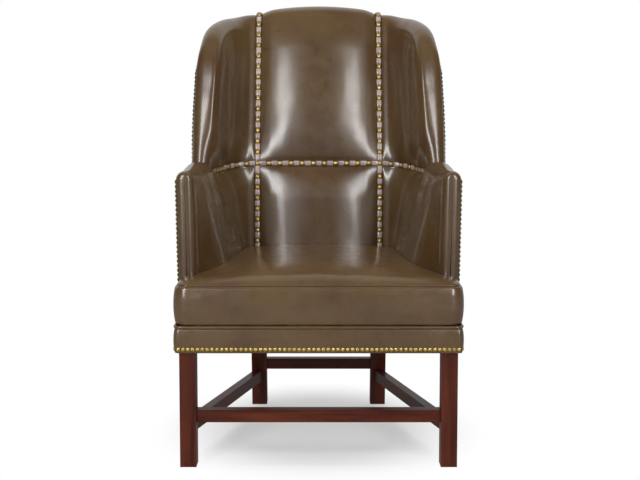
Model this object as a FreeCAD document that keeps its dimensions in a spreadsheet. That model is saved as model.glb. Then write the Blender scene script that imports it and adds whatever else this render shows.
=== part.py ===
import FreeCAD, Part

import math
import os

from FreeCAD import Vector

# Barrel-backed wing armchair with a tight seat, strapped and nailed leather, and a box of stretchers.
# Millimetres. The chair faces -Y, +X is to the right of someone looking at its front, +Z is up, and
# the origin is on the floor under the middle of the bounding box.

SIZES = {
    # Whole chair
    "chair_width": 686,
    "chair_height": 1140,
    "chair_depth": 680,
    # Legs and stretchers
    "glide_height": 4,
    "glide_radius": 9.5,
    "leg_side": 38.5,
    "leg_inset": 15,
    "seat_proud": 13,
    "rear_leg_width": 42,
    "rear_leg_depth": 41,
    "rear_leg_spread": 190,
    "rear_leg_rake": 10.5,
    "rear_leg_setback": 521,
    "stretcher_height": 30,
    "stretcher_thick": 24,
    "stretcher_setback": 8,
    "cross_stretcher_level": 110,
    "side_stretcher_level": 79,
    "tenon_length": 14,
    "tenon_shoulder": 5,
    "tenon_gap": 0.2,
    # Seat frame
    "rail_bottom": 285,
    "rail_height": 60,
    "rail_thick": 25,
    "rail_setback": 2,
    "rail_outset": 6,
    "block_reach": 62,
    "spring_count": 5,
    "spring_wire": 3.6,
    "spring_loop": 17,
    "spring_width": 42,
    "deck_thick": 2.5,
    # Inside of the tub at strap level
    "back_setback": 497,
    "back_flat": 185,
    "corner_radius": 85,
    "side_splay": 10,
    "arm_setback": 60,
    "strap_level": 698,
    "strap_droop": 14,
    "strap_offset": 171,
    # Tub thickness and lean
    "arm_thick": 43.5,
    "wing_thick": 49,
    "back_thick": 88,
    "roll_thick": 66,
    "hide": 4,
    "seat_tuck_back": 22,
    "seat_tuck_side": 66,
    "outer_tuck_back": 59,
    "outer_tuck_side": 73,
    "arm_tuck_run": 130,
    "roll_tilt": 4.5,
    "puff": 9,
    "crown": 9,
    "puff_reach": 34,
    "wrap_length": 34,
    # Outline of the back and the wings
    "strap_top_drop": 16,
    "corner_drop": 10,
    "corner_angle": 46,
    "wing_rake": 16,
    "wing_straight": 960,
    "wing_round_rise": 92,
    "wing_round_back": 88,
    "wing_round_fall": 22,
    "wing_foot_setback": 291,
    # Arms
    "arm_level": 702,
    "arm_tuck_front": 6,
    # Straps and nails
    "strap_width": 16,
    "strap_thick": 3,
    "strap_sunk": 1.2,
    "strap_nail_pitch": 31,
    "strap_nail_radius": 5.2,
    "trim_nail_radius": 5.1,
    "trim_nail_pitch": 11.3,
    "nail_height": 2.4,
    # Seat
    "band_bottom": 280,
    "welt_level": 341.5,
    "welt_radius": 3.2,
    "boxing_top": 437,
    "boxing_bulge": 5,
    "seat_corner": 26,
    "seat_crown": 36,
    "seat_side_fall": 0.6,
    "seat_rise_run": 190,
    "band_pad": 11,
    "band_corner": 12,
    "band_nail_rise": 9.5,
    # Frame inside the tub
    "post_depth": 30,
    "post_width": 38,
    "post_lean": 9.5,
    "post_setback": 478,
    "hoop_level": 655,
    "hoop_height": 24,
    "hoop_thick": 22,
    "hoop_cover": 16,
    "arm_post_width": 24,
    "arm_post_depth": 38,
    "wing_board": 18,
    "crest_level": 1036,
    "crest_height": 30,
    "crest_cover": 20,
    "crest_thick": 20,
    "tack_rail_level": 392,
    "tack_rail_height": 34,
    "tack_rail_thick": 22,
}

doc = FreeCAD.newDocument("WingChair")
sheet = doc.addObject("Spreadsheet::Sheet", "Sizes")
for row, (alias, size) in enumerate(SIZES.items(), start=1):
    sheet.set(f"A{row}", alias)
    sheet.set(f"B{row}", str(size))
    sheet.setAlias(f"B{row}", alias)
doc.recompute()

NODES = {}


def val(alias):
    """The value of one driving size."""
    return float(sheet.get(alias))


def bind(obj, **cells):
    """Binds properties of an object to expressions over the sheet's names."""
    for prop, text in cells.items():
        words = "".join(c if c.isalnum() or c == "_" else " " for c in text).split()
        for word in sorted(set(words), key=len, reverse=True):
            if word in SIZES:
                text = replace_word(text, word)
        obj.setExpression(prop.replace("__", "."), text)


def replace_word(text, word):
    """Puts the sheet's name in front of one whole word of an expression."""
    out = ""
    token = ""
    for char in text + " ":
        if char.isalnum() or char in "_.":
            token += char
            continue
        out += ("Sizes." + token if token == word else token) + char
        token = ""
    return out.strip()


def keep(obj, label):
    """Labels an object and marks it as one of the chair's sub-parts."""
    obj.Label = label
    NODES[label] = obj
    return obj


def feature(name, shape):
    """A feature whose shape comes from Part's own functions."""
    obj = doc.addObject("Part::Feature", name)
    obj.Shape = shape
    return obj


# Depths below are measured back from the front faces of the front legs.

FRONT = "(-chair_depth/2 + seat_proud)"
LEG_X = "(chair_width/2 - leg_inset)"
RAIL_TOP = "(rail_bottom + rail_height)"
RAKE = "tan(rear_leg_rake*1deg)"


def prism(name, low, high, low_z, high_z):
    """A straight or sheared post. low and high are (x0, x1, depth0, depth1) at its two ends."""
    obj = doc.addObject("Part::Wedge", name)
    obj.Placement = FreeCAD.Placement(Vector(), FreeCAD.Rotation(Vector(1, 0, 0), 90))
    bind(
        obj,
        Ymin=low_z,
        Ymax=high_z,
        Xmin=low[0],
        Xmax=low[1],
        Zmin=f"-({FRONT} + {low[3]})",
        Zmax=f"-({FRONT} + {low[2]})",
        X2min=high[0],
        X2max=high[1],
        Z2min=f"-({FRONT} + {high[3]})",
        Z2max=f"-({FRONT} + {high[2]})",
    )
    return obj


def skew_bar(name, front_x, rear_x, front_depth, rear_depth, low_z, high_z):
    """A level bar from front to rear whose two ends are square to the chair, not to the bar."""
    obj = doc.addObject("Part::Wedge", name)
    bind(
        obj,
        Ymin=f"{FRONT} + {front_depth}",
        Ymax=f"{FRONT} + {rear_depth}",
        Xmin=front_x[0],
        Xmax=front_x[1],
        Zmin=low_z,
        Zmax=high_z,
        X2min=rear_x[0],
        X2max=rear_x[1],
        Z2min=low_z,
        Z2max=high_z,
    )
    return obj


def cut(name, base, *tools):
    """One object with the others taken out of it."""
    result = base
    for number, tool in enumerate(tools):
        step = doc.addObject("Part::Cut", f"{name}_cut{number}")
        step.Base = result
        step.Tool = tool
        result = step
    return result


def fuse(name, *parts):
    """Several objects of one piece joined."""
    obj = doc.addObject("Part::MultiFuse", f"{name}_fuse")
    obj.Shapes = list(parts)
    obj.Refine = True
    return obj


def mirror(name, source):
    """The same piece on the other side of the chair."""
    obj = doc.addObject("Part::Mirroring", f"{name}_mirror")
    obj.Source = source
    obj.Normal = Vector(1, 0, 0)
    obj.Base = Vector(0, 0, 0)
    return obj


# Legs

def raked(depth, level):
    """Depth of a raked face at a height, given its depth at the floor."""
    return f"({depth} - ({level})*{RAKE})"


leg_box = (f"({LEG_X} - leg_side)", LEG_X, "0", "leg_side")
front_blank = prism("FrontLegBlank", leg_box, leg_box, "glide_height", RAIL_TOP)

rear_x = ("(rear_leg_spread - rear_leg_width)", "rear_leg_spread")
REAR_FACE = "rear_leg_setback"
REAR_BACK = "(rear_leg_setback + rear_leg_depth)"
rear_blank = prism(
    "RearLegBlank",
    rear_x + (raked(REAR_FACE, "glide_height"), raked(REAR_BACK, "glide_height")),
    rear_x + (raked(REAR_FACE, RAIL_TOP), raked(REAR_BACK, RAIL_TOP)),
    "glide_height",
    RAIL_TOP,
)

# Stretchers, with tenons that go into the legs

CROSS = "cross_stretcher_level"
CROSS_TOP = "(cross_stretcher_level + stretcher_height)"
SIDE = "side_stretcher_level"
SIDE_TOP = "(side_stretcher_level + stretcher_height)"
REAR_CROSS = f"({raked(REAR_FACE, CROSS)} + stretcher_setback)"


def cross_stretcher(name, half_span, depth, gap="0"):
    """A bar between two legs and the longer, slimmer bar that makes its tenons."""
    bar_x = (f"-({half_span})", half_span, depth, f"({depth} + stretcher_thick)")
    bar = prism(f"{name}Bar", bar_x, bar_x, CROSS, CROSS_TOP)
    reach = f"({half_span} + tenon_length + {gap})"
    slim = (
        f"-{reach}",
        reach,
        f"({depth} + tenon_shoulder - {gap})",
        f"({depth} + stretcher_thick - tenon_shoulder + {gap})",
    )
    low = f"({CROSS} + tenon_shoulder - {gap})"
    high = f"({CROSS_TOP} - tenon_shoulder + {gap})"
    tenon = prism(f"{name}Tenon", slim, slim, low, high)
    return bar, tenon


front_half = f"({LEG_X} - leg_side)"
rear_half = "(rear_leg_spread - rear_leg_width)"
front_bar, front_tenon = cross_stretcher("FrontStretcher", front_half, "stretcher_setback")
rear_bar, rear_tenon = cross_stretcher("RearStretcher", rear_half, REAR_CROSS)
front_mortise = cross_stretcher("FrontMortise", front_half, "stretcher_setback", "tenon_gap")[1]
rear_mortise = cross_stretcher("RearMortise", rear_half, REAR_CROSS, "tenon_gap")[1]
keep(fuse("stretcher_front", front_bar, front_tenon), "stretcher_front")
keep(fuse("stretcher_rear", rear_bar, rear_tenon), "stretcher_rear")

FRONT_MID = f"({LEG_X} - leg_side/2)"
REAR_MID = "(rear_leg_spread - rear_leg_width/2)"
SIDE_RUN = f"({raked(REAR_FACE, SIDE)} - leg_side)"
SLOPE = f"(({FRONT_MID} - {REAR_MID})/{SIDE_RUN})"


def side_bar(name, half, extra, low, high):
    """A skew bar on the line from the front leg to the rear one, longer by extra at each end."""
    front = f"({FRONT_MID} + ({extra})*{SLOPE})"
    rear = f"({REAR_MID} - ({extra})*{SLOPE})"
    return skew_bar(
        name,
        (f"({front} - {half})", f"({front} + {half})"),
        (f"({rear} - {half})", f"({rear} + {half})"),
        f"(leg_side - ({extra}))",
        f"(leg_side + {SIDE_RUN} + ({extra}))",
        low,
        high,
    )


side_full = side_bar("SideStretcherBar", "stretcher_thick/2", "0", SIDE, SIDE_TOP)
TENON_HALF = "(stretcher_thick/2 - tenon_shoulder)"
side_tenon = side_bar(
    "SideStretcherTenon",
    TENON_HALF,
    "tenon_length",
    f"({SIDE} + tenon_shoulder)",
    f"({SIDE_TOP} - tenon_shoulder)",
)
side_mortise = side_bar(
    "SideMortise",
    f"({TENON_HALF} + tenon_gap)",
    "tenon_length + tenon_gap",
    f"({SIDE} + tenon_shoulder - tenon_gap)",
    f"({SIDE_TOP} - tenon_shoulder + tenon_gap)",
)
side_trimmed = cut("SideStretcher", side_full, rear_blank)
stretcher_right = keep(fuse("stretcher_right", side_trimmed, side_tenon), "stretcher_right")
keep(mirror("stretcher_left", stretcher_right), "stretcher_left")

leg_front_right = keep(cut("leg_front_right", front_blank, front_mortise, side_mortise), "leg_front_right")
keep(mirror("leg_front_left", leg_front_right), "leg_front_left")
leg_rear_right = keep(cut("leg_rear_right", rear_blank, rear_mortise, side_mortise), "leg_rear_right")
keep(mirror("leg_rear_left", leg_rear_right), "leg_rear_left")

# Nail-on glides

glides = []
rear_middle = f"({raked(REAR_FACE, 'glide_height')} + rear_leg_depth/2)"
for side, sign in (("Right", ""), ("Left", "-")):
    for end, x, depth in (("Front", FRONT_MID, "leg_side/2"), ("Rear", REAR_MID, rear_middle)):
        glide = doc.addObject("Part::Cone", f"Glide{end}{side}")
        bind(
            glide,
            Radius1="glide_radius*0.8",
            Radius2="glide_radius",
            Height="glide_height",
            Placement__Base__x=f"{sign}{x}",
            Placement__Base__y=f"{FRONT} + {depth}",
        )
        glides.append(glide)
glide_group = doc.addObject("Part::Compound", "glide_group")
glide_group.Links = glides
keep(glide_group, "glides")

# Seat rails

front_rail_box = (
    f"-({LEG_X} - leg_side)",
    f"({LEG_X} - leg_side)",
    "rail_setback",
    "(rail_setback + rail_thick)",
)
keep(prism("rail_front_box", front_rail_box, front_rail_box, "rail_bottom", RAIL_TOP), "rail_front")

RAIL_OUT = f"({LEG_X} + rail_outset)"
RAIL_REAR = "rear_leg_spread"
side_rail_bar = skew_bar(
    "SideRailBar",
    (f"({RAIL_OUT} - rail_thick)", RAIL_OUT),
    (f"({RAIL_REAR} - rail_thick)", RAIL_REAR),
    "leg_side",
    raked(REAR_FACE, RAIL_TOP),
    "rail_bottom",
    RAIL_TOP,
)
side_rail_tail = skew_bar(
    "SideRailTail",
    (f"({RAIL_REAR} - rail_thick)", RAIL_REAR),
    (f"({RAIL_REAR} - rail_thick)", RAIL_REAR),
    raked(REAR_FACE, RAIL_TOP),
    raked(REAR_FACE, "rail_bottom"),
    "rail_bottom",
    RAIL_TOP,
)
side_rail_whole = fuse("SideRail", side_rail_bar, side_rail_tail)
rail_right = keep(cut("rail_right", side_rail_whole, rear_blank), "rail_right")
keep(mirror("rail_left", rail_right), "rail_left")

REAR_RAIL = f"({raked(REAR_FACE, 'rail_bottom')} + 2)"
rear_rail_box = (f"-{rear_half}", rear_half, REAR_RAIL, f"({REAR_RAIL} + rail_thick)")
keep(prism("rail_rear_box", rear_rail_box, rear_rail_box, "rail_bottom", RAIL_TOP), "rail_rear")

doc.recompute()

# Numbers read back from the sheet for the lofted pieces

front_y = -val("chair_depth") / 2 + val("seat_proud")
back_reach = val("seat_proud") + val("back_setback") + val("roll_thick") - val("roll_tilt")
back_lean = val("chair_depth") - back_reach
leg_x = val("chair_width") / 2 - val("leg_inset")
rail_top = val("rail_bottom") + val("rail_height")
rake = math.tan(math.radians(val("rear_leg_rake")))
UP = Vector(0, 0, 1)
BACK = Vector(0, 1, 0)


def at(x, depth, level):
    """A point from its distance off centre, depth behind the front legs' faces and height."""
    return Vector(x, front_y + depth, level)


# Corner blocks, glued into the four corners of the seat frame

rail_slope = (leg_x + val("rail_outset") - val("rear_leg_spread")) / (
    val("rear_leg_setback") - rail_top * rake - val("leg_side")
)


def rail_inner_x(depth):
    """Inner face of the right side rail at a depth."""
    return leg_x + val("rail_outset") - val("rail_thick") - (depth - val("leg_side")) * rail_slope


def block(points):
    """A block with the given plan, as deep as it is in such frames: most of the rail's height."""
    low = val("rail_bottom") + val("rail_height") * 0.15
    corners = [at(x, depth, low) for x, depth in points]
    face = Part.Face(Part.makePolygon(corners + corners[:1]))
    return face.extrude(UP * val("rail_height") * 0.6)


reach = val("block_reach")
rail_back = val("rail_setback") + val("rail_thick")
leg_in = leg_x - val("leg_side")
front_block = block(
    [
        (leg_in - reach * 0.7, rail_back),
        (leg_in, rail_back),
        (leg_in, val("leg_side")),
        (rail_inner_x(val("leg_side")), val("leg_side")),
        (rail_inner_x(val("leg_side") + reach * 0.7), val("leg_side") + reach * 0.7),
    ]
)
rear_rail_face = val("rear_leg_setback") - val("rail_bottom") * rake + 2
rear_leg_in = val("rear_leg_spread") - val("rear_leg_width")
rear_leg_front = val("rear_leg_setback") - rail_top * rake
rear_block = block(
    [
        (rear_leg_in - reach * 0.6, rear_rail_face),
        (rear_leg_in, rear_rail_face),
        (rear_leg_in, rear_leg_front),
        (rail_inner_x(rear_leg_front), rear_leg_front),
        (rail_inner_x(rear_leg_front - reach), rear_leg_front - reach),
    ]
).cut(leg_rear_right.Shape)
blocks = []
for solid in (front_block, rear_block):
    blocks.append(solid)
    blocks.append(solid.mirror(Vector(), Vector(1, 0, 0)))
keep(feature("corner_block_group", Part.makeCompound(blocks)), "corner_blocks")

# Plan of the tub at strap level: a flat back, a corner arc and one long side arc, all tangent

splay = math.radians(val("side_splay"))
corner_depth = val("back_setback") - val("corner_radius")
side_end = corner_depth + val("corner_radius") * math.sin(splay)
arm_start = val("arm_setback") + val("arm_thick") / 2
side_radius = (side_end - arm_start) / math.sin(splay)
side_end_x = val("back_flat") + val("corner_radius") * math.cos(splay)
arm_x = side_end_x + side_radius * (1 - math.cos(splay))


def plan(angle):
    """Point of the plan and its outward normal, by the angle of the normal in degrees."""
    turn = math.radians(angle)
    normal = Vector(math.cos(turn), math.sin(turn), 0)
    if turn >= splay:
        point = at(val("back_flat"), corner_depth, 0) + normal * val("corner_radius")
    else:
        point = at(arm_x - side_radius, arm_start, 0) + normal * side_radius
    return point, normal


def angle_at(depth):
    """The plan's angle where it passes a depth."""
    if depth >= side_end:
        return math.degrees(math.asin((depth - corner_depth) / val("corner_radius")))
    return math.degrees(math.asin((depth - arm_start) / side_radius))


def split_level(angle):
    """Height of the horizontal strap, which droops towards the front."""
    return val("strap_level") - val("strap_droop") * (90 - angle) / 90


def share_of_back(angle):
    """1 where the tub faces forward at the back, 0 along its sides."""
    low = math.sin(splay)
    return max(0.0, math.sin(math.radians(angle)) - low) / (1 - low)


def blend(side, back, angle):
    """A size that changes from its value on the side to its value at the back."""
    return side + (back - side) * share_of_back(angle)


def ease(share):
    """A smooth step from 0 to 1."""
    share = min(1.0, max(0.0, share))
    return share * share * (3 - 2 * share)


def bow(start, middle, end):
    """An arc through three points, or a line where they are in line."""
    chord = (end - start).normalize()
    offset = middle - start
    sag = (offset - chord * offset.dot(chord)).Length
    if sag < 0.01:
        return Part.makeLine(start, end)
    return Part.Arc(start, middle, end).toShape()


class Section:
    """One cross-section of a pad: a plane that stands across the tub's wall.

    foot is the inner lower corner, normal the wall's outward direction, tip the outermost point of the
    rolled edge, and arch the roll's height. The face is drawn in by puff at its foot, or at its head
    where drawn_head is set, and bellies by crown between.
    """

    def __init__(self, foot, normal, tip, foot_thick, tip_thick, arch, puff, crown, drawn_head=False):
        self.foot = foot
        self.normal = normal
        self.tip = tip
        self.foot_thick = foot_thick
        self.tip_thick = tip_thick
        self.arch = arch
        self.puff = puff
        self.crown = crown
        self.drawn_head = drawn_head
        self.wrap = val("wrap_length")
        middle = foot + normal * (foot_thick / 2)
        self.axis = (tip - middle).normalize()

    def inner_foot(self, inset):
        return self.foot + self.normal * inset

    def outer_foot(self, inset):
        return self.foot + self.normal * (self.foot_thick - inset)

    def shoulder(self, side, inset):
        half = self.tip_thick / 2 - inset
        return self.tip + self.normal * (side * half) - self.axis * self.arch

    def haunch(self, side, inset):
        half = self.tip_thick / 2 - inset
        drop = inset + (self.arch - inset) * (1 - math.sqrt(0.5))
        return self.tip + self.normal * (side * half * math.sqrt(0.5)) - self.axis * drop

    def apex(self, inset):
        return self.tip - self.axis * min(inset, self.arch / 2)

    def face(self, inset):
        """The padded face from foot to shoulder, as two arcs: one short where it is drawn in."""
        low = self.inner_foot(inset)
        high = self.shoulder(-1, inset)
        run = (high - low).normalize() * val("puff_reach")
        swell = self.normal * self.puff
        if self.drawn_head:
            low = low - swell
            turn = high - run - swell
            near = high - run * 0.42 - swell * 0.72
            belly = (low + turn) * 0.5 - self.normal * self.crown
            return [
                bow(low, belly, turn),
                bow(turn, near, high),
            ]
        turn = low + run - swell
        near = low + run * 0.42 - swell * 0.72
        belly = (turn + high) * 0.5 - self.normal * self.crown
        return [
            bow(low, near, turn),
            bow(turn, belly, high),
        ]

    def start(self, inset):
        """Where the face begins at the foot."""
        low = self.inner_foot(inset)
        return low - self.normal * self.puff if self.drawn_head else low

    def roll(self, inset):
        """The rolled edge from the inner to the outer shoulder."""
        top = self.apex(inset)
        return [
            bow(self.shoulder(-1, inset), self.haunch(-1, inset), top),
            bow(top, self.haunch(1, inset), self.shoulder(1, inset)),
        ]

    def wrap_end(self, inset):
        """End of the leather that comes over the roll and is nailed to the outside."""
        run = (self.outer_foot(0) - self.shoulder(1, 0)).normalize()
        return self.shoulder(1, inset) + run * self.wrap

    def core(self, inset):
        """Closed outline of the padding."""
        edges = self.face(inset) + self.roll(inset)
        edges.append(Part.makeLine(self.shoulder(1, inset), self.outer_foot(inset)))
        edges.append(Part.makeLine(self.outer_foot(inset), self.start(inset)))
        return Part.Wire(edges)

    def cover(self, near, far):
        """Closed outline of a leather between two insets, with its wrap over the roll."""
        edges = self.face(near) + self.roll(near)
        edges.append(Part.makeLine(self.shoulder(1, near), self.wrap_end(near)))
        edges.append(Part.makeLine(self.wrap_end(near), self.wrap_end(far)))
        edges.append(Part.makeLine(self.wrap_end(far), self.shoulder(1, far)))
        edges.extend(self.face(far) + self.roll(far))
        edges.append(Part.makeLine(self.start(far), self.start(near)))
        return Part.Wire(Part.__sortEdges__(edges))

    def facing(self, near, far):
        """Closed outline of a leather between two insets that stops at the inner shoulder."""
        edges = self.face(near)
        edges.append(Part.makeLine(self.shoulder(-1, near), self.shoulder(-1, far)))
        edges.extend(self.face(far))
        edges.append(Part.makeLine(self.start(far), self.start(near)))
        return Part.Wire(Part.__sortEdges__(edges))

    def hem(self, inset, drop):
        """The outer face carried on below the foot by a drop."""
        run = self.outer_foot(0) - self.shoulder(1, 0)
        return self.outer_foot(inset) + run * (drop / -run.z)

    def outside(self, inset, drop=0):
        """Closed outline of the outside leather, from the wrapped edge down to its hem."""
        corners = [self.wrap_end(0), self.hem(0, drop), self.hem(inset, drop), self.wrap_end(inset)]
        return Part.makePolygon(corners + corners[:1])


def loft(wires):
    """A smooth solid through closed outlines."""
    return Part.makeLoft(wires, True, False, False, 2)


top = val("chair_height")
puff = val("puff")
crown = val("crown")
hide = val("hide")
strap_x = val("strap_offset")
half_strap = val("strap_width") / 2


# Upper back between the straps, and the shared outline of the top

def top_level(x):
    """Top outline of the back: highest in the middle, lower towards each side."""
    beyond = max(0.0, x - strap_x) / strap_x
    return top - val("strap_top_drop") * (x / strap_x) ** 2 - val("corner_drop") * beyond


def back_section(x, fullness):
    """Upper section of the back at a distance off centre."""
    foot = at(x, val("back_setback"), split_level(90))
    tip_depth = val("back_setback") + back_lean + val("roll_thick") / 2
    tip = at(x, tip_depth, top_level(abs(x)))
    swell = (puff * fullness, crown * fullness)
    thick = (val("back_thick"), val("roll_thick"), val("roll_thick") / 2)
    return Section(foot, BACK, tip, *thick, *swell)


# Distance off centre and fullness of each cross-section: flat under the strap, full a hand away
panel_stations = [
    (strap_x, 0.05),
    (strap_x - half_strap, 0.1),
    (strap_x - half_strap * 2.6, 0.62),
    (strap_x - half_strap * 5, 0.95),
    (strap_x * 0.5, 1.1),
    (0, 1.15),
]


def whole_width(stations):
    """Stations for the whole width from those of the right half."""
    left = [(-x, full) for x, full in stations[:-1]]
    return left + list(reversed(stations))


upper_back = [back_section(x, full) for x, full in whole_width(panel_stations)]
upper_back_core = loft([s.core(hide) for s in upper_back])
panel_back_upper = loft([s.cover(0, hide) for s in upper_back])

# Wings: sections stand up at the back and corner, then fan forward to stay square to the rolled edge

rake_front = math.radians(val("wing_rake"))
foot_level = split_level(angle_at(val("wing_foot_setback")))


def leaned(angle):
    """How far back the top of the tub leans over its foot, less and less round the corner."""
    return back_lean * share_of_back(angle) ** 1.3


def edge_point(angle):
    """The rolled edge's place in plan, by the angle of the tub's normal."""
    point, normal = plan(angle)
    return point + normal * (blend(val("wing_thick"), val("roll_thick"), angle) / 2) + BACK * leaned(angle)


def corner_tip(angle):
    """Point of the top roll above the tub's corner."""
    point = edge_point(angle)
    return Vector(point.x, point.y, top_level(point.x))


def front_depth(level):
    """Depth of the wing's straight front edge at a height."""
    return val("wing_foot_setback") + (level - foot_level) * math.tan(rake_front)


# Seen from the side, the wing's edge turns from its front into the top in one curve of four poles

round_low = Vector(0, front_depth(val("wing_straight")), val("wing_straight"))
round_high = corner_tip(val("corner_angle"))
round_high = Vector(0, round_high.y - front_y, round_high.z)
edge_curve = Part.BezierCurve()
edge_curve.setPoles([
    round_low,
    round_low + Vector(0, math.sin(rake_front), math.cos(rake_front)) * val("wing_round_rise"),
    round_high - Vector(0, val("wing_round_back"), val("wing_round_fall")),
    round_high,
])


def edge_tip(depth, level):
    """Point of the wing's rolled edge at a depth and a height, found by halving the range of angles."""
    low, high = 0.0, 90.0
    for _ in range(24):
        middle = (low + high) / 2
        if edge_point(middle).y - front_y < depth:
            low = middle
        else:
            high = middle
    return Vector(edge_point(low).x, front_y + depth, level)


def round_tip(share):
    """Point of the rolled edge along the curve from the wing's front into its top."""
    spot = edge_curve.value(share)
    return edge_tip(spot.y, spot.z)


def front_tip(share):
    """Point of the wing's straight front edge, from its foot to where it turns."""
    level = foot_level + (val("wing_straight") - foot_level) * share
    return edge_tip(front_depth(level), level)


def wing_section(angle, tip, fullness):
    """Section of the wing from a foot on the strap line to a point of the rolled edge."""
    point, normal = plan(angle)
    foot = Vector(point.x, point.y, split_level(angle))
    tip_thick = blend(val("wing_thick"), val("roll_thick"), angle)
    foot_thick = blend(val("wing_thick"), val("back_thick"), angle)
    return Section(
        foot, normal, tip, foot_thick, tip_thick, tip_thick / 2, puff * fullness, crown * fullness
    )


fan_start = side_end
fan_end = val("wing_foot_setback") + val("wing_thick") * 1.35


def fan_angle(share):
    """Where along the strap line a section of the fan stands."""
    return angle_at(fan_start + (fan_end - fan_start) * share)


wing = [back_section(strap_x, 0.05), back_section(strap_x + half_strap, 0.1)]
for angle, fullness in ((78, 0.6), (62, 1), (val("corner_angle"), 1)):
    wing.append(wing_section(angle, corner_tip(angle), fullness))
for angle, share in ((30, 0.8), (16, 0.6), (fan_angle(0.25), 0.38), (fan_angle(0.45), 0.15)):
    wing.append(wing_section(angle, round_tip(share), 1))
for place, share, fullness in ((0.6, 0.78, 1), (0.75, 0.5, 0.8), (0.9, 0.2, 0.5), (1, 0.04, 0.1)):
    wing.append(wing_section(fan_angle(place), front_tip(share), fullness))
wing_core = loft([s.core(hide) for s in wing])
wing_cover = loft([s.cover(0, hide) for s in wing])
wing_outside = loft([s.outside(hide) for s in wing[1:]])

# Lower tub: inside arms, which become the rolled arms in front of the wings


def lower_section(angle, fullness, foot, point, normal, thick, arch, level, tuck_in, tuck_out):
    """Section of the lower tub. tuck_in and tuck_out are how far both faces move inward at the foot."""
    base = Vector(point.x, point.y, foot) - normal * tuck_in
    tip = Vector(point.x, point.y, level) + normal * (thick / 2)
    return Section(
        base, normal, tip, thick + tuck_in - tuck_out, thick, arch, puff * fullness, crown, True
    )


def tuck(angle, depth):
    """How far the inner and the outer face of the lower tub have moved inward at the foot."""
    near = ease((depth - arm_start) / val("arm_tuck_run"))
    inner = val("arm_tuck_front") + (val("seat_tuck_side") - val("arm_tuck_front")) * near
    far = ease((depth - arm_start) / (side_end - arm_start))
    outer = val("arm_tuck_front") + (val("outer_tuck_side") - val("arm_tuck_front")) * far
    return blend(inner, val("seat_tuck_back"), angle), blend(outer, val("outer_tuck_back"), angle)


def under_wing(angle, fullness):
    """Section of the lower tub under the wing or the back, with a flat head at the strap."""
    point, normal = plan(angle)
    depth = point.y - front_y
    thick = blend(val("wing_thick"), val("back_thick"), angle)
    arch = 2
    return lower_section(
        angle, fullness, rail_top, point, normal, thick, arch, split_level(angle), *tuck(angle, depth)
    )


def arm_section(depth):
    """Section of the arm in front of the wing, with its rolled top."""
    angle = angle_at(depth)
    point, normal = plan(angle)
    share = ease((depth - arm_start) / (val("wing_foot_setback") - arm_start))
    thick = val("arm_thick") + (val("wing_thick") - val("arm_thick")) * share
    return lower_section(
        angle, 0, rail_top, point, normal, thick, thick / 2, val("arm_level"), *tuck(angle, depth)
    )


def nose_section(turn):
    """Section of the arm's rounded front, squeezed about its middle."""
    full = arm_section(arm_start)
    turn = math.radians(turn)
    squeeze = math.cos(turn)
    half = val("arm_thick") / 2
    forward = BACK * (-half * math.sin(turn))
    drop = UP * (-(1 - squeeze) * half * 0.7)
    foot = full.foot + full.normal * (full.foot_thick / 2 * (1 - squeeze)) + forward
    thick = full.tip_thick * squeeze
    section = Section(
        foot,
        full.normal,
        full.tip + forward + drop,
        full.foot_thick * squeeze,
        thick,
        max(half * 0.5, thick / 2),
        0,
        full.crown * squeeze,
        True,
    )
    return section


def lower_back_section(x, fullness):
    """Lower section of the back at a distance off centre."""
    thick = val("back_thick")
    foot = at(x, val("back_setback") - val("seat_tuck_back"), rail_top)
    tip = at(x, val("back_setback") + thick / 2, split_level(90))
    foot_thick = thick + val("seat_tuck_back") - val("outer_tuck_back")
    return Section(foot, BACK, tip, foot_thick, thick, 2, puff * fullness, crown * fullness, True)


lower_back = [lower_back_section(x, full) for x, full in whole_width(panel_stations)]
lower_back_core = loft([s.core(hide) for s in lower_back])
panel_back_lower = loft([s.facing(0, hide) for s in lower_back])

tub = [lower_back_section(strap_x, 0.05), lower_back_section(strap_x + half_strap, 0.1)]
for angle, fullness in ((76, 0.7), (58, 1), (36, 1), (val("side_splay"), 1)):
    tub.append(under_wing(angle, fullness))
wing_front = val("wing_foot_setback")
tub.append(under_wing(angle_at(wing_front + val("wing_thick") * 1.3), 0.8))
for section in tub:
    section.wrap = 1
arm = [
    tub[-1],
    arm_section(wing_front - val("wing_thick") * 0.1),
    arm_section(wing_front * 0.6 + arm_start * 0.4),
    arm_section(wing_front * 0.25 + arm_start * 0.75),
    arm_section(arm_start),
]
nose = [nose_section(turn) for turn in (0, 28, 52)]
for section in nose:
    section.wrap = (section.outer_foot(0) - section.shoulder(1, 0)).Length - 0.5
cap = [nose_section(turn) for turn in (52, 70, 84)]
arm_core = loft([s.core(hide) for s in tub + arm[1:]]).fuse(loft([s.core(hide) for s in nose]))
arm_cover = loft([s.facing(0, hide) for s in tub])
arm_cover = arm_cover.fuse([
    loft([s.cover(0, hide) for s in arm]),
    loft([s.cover(0, hide) for s in nose]),
    loft([s.core(0) for s in cap]),
])
hem_drop = rail_top - val("band_bottom")
arm_outside = loft([s.outside(hide, hem_drop) for s in tub[1:] + arm[1:]])

# Outside back, one leather from the wrapped top down to its hem

def outside_back_section(x):
    high = back_section(x, 0)
    low = lower_back_section(x, 0)
    corners = []
    for inset in (0, hide):
        side = [high.wrap_end(inset), high.outer_foot(inset), low.outer_foot(inset), low.hem(inset, hem_drop)]
        corners.extend(side if inset == 0 else reversed(side))
    return Part.makePolygon(corners + corners[:1])


back_edge = strap_x + half_strap
outside_back = loft([outside_back_section(x) for x in (-back_edge, -back_edge / 2, 0, back_edge / 2, back_edge)])

# Straps

strap_out = val("strap_sunk") - val("strap_thick")
strap_in = val("strap_sunk")


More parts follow.
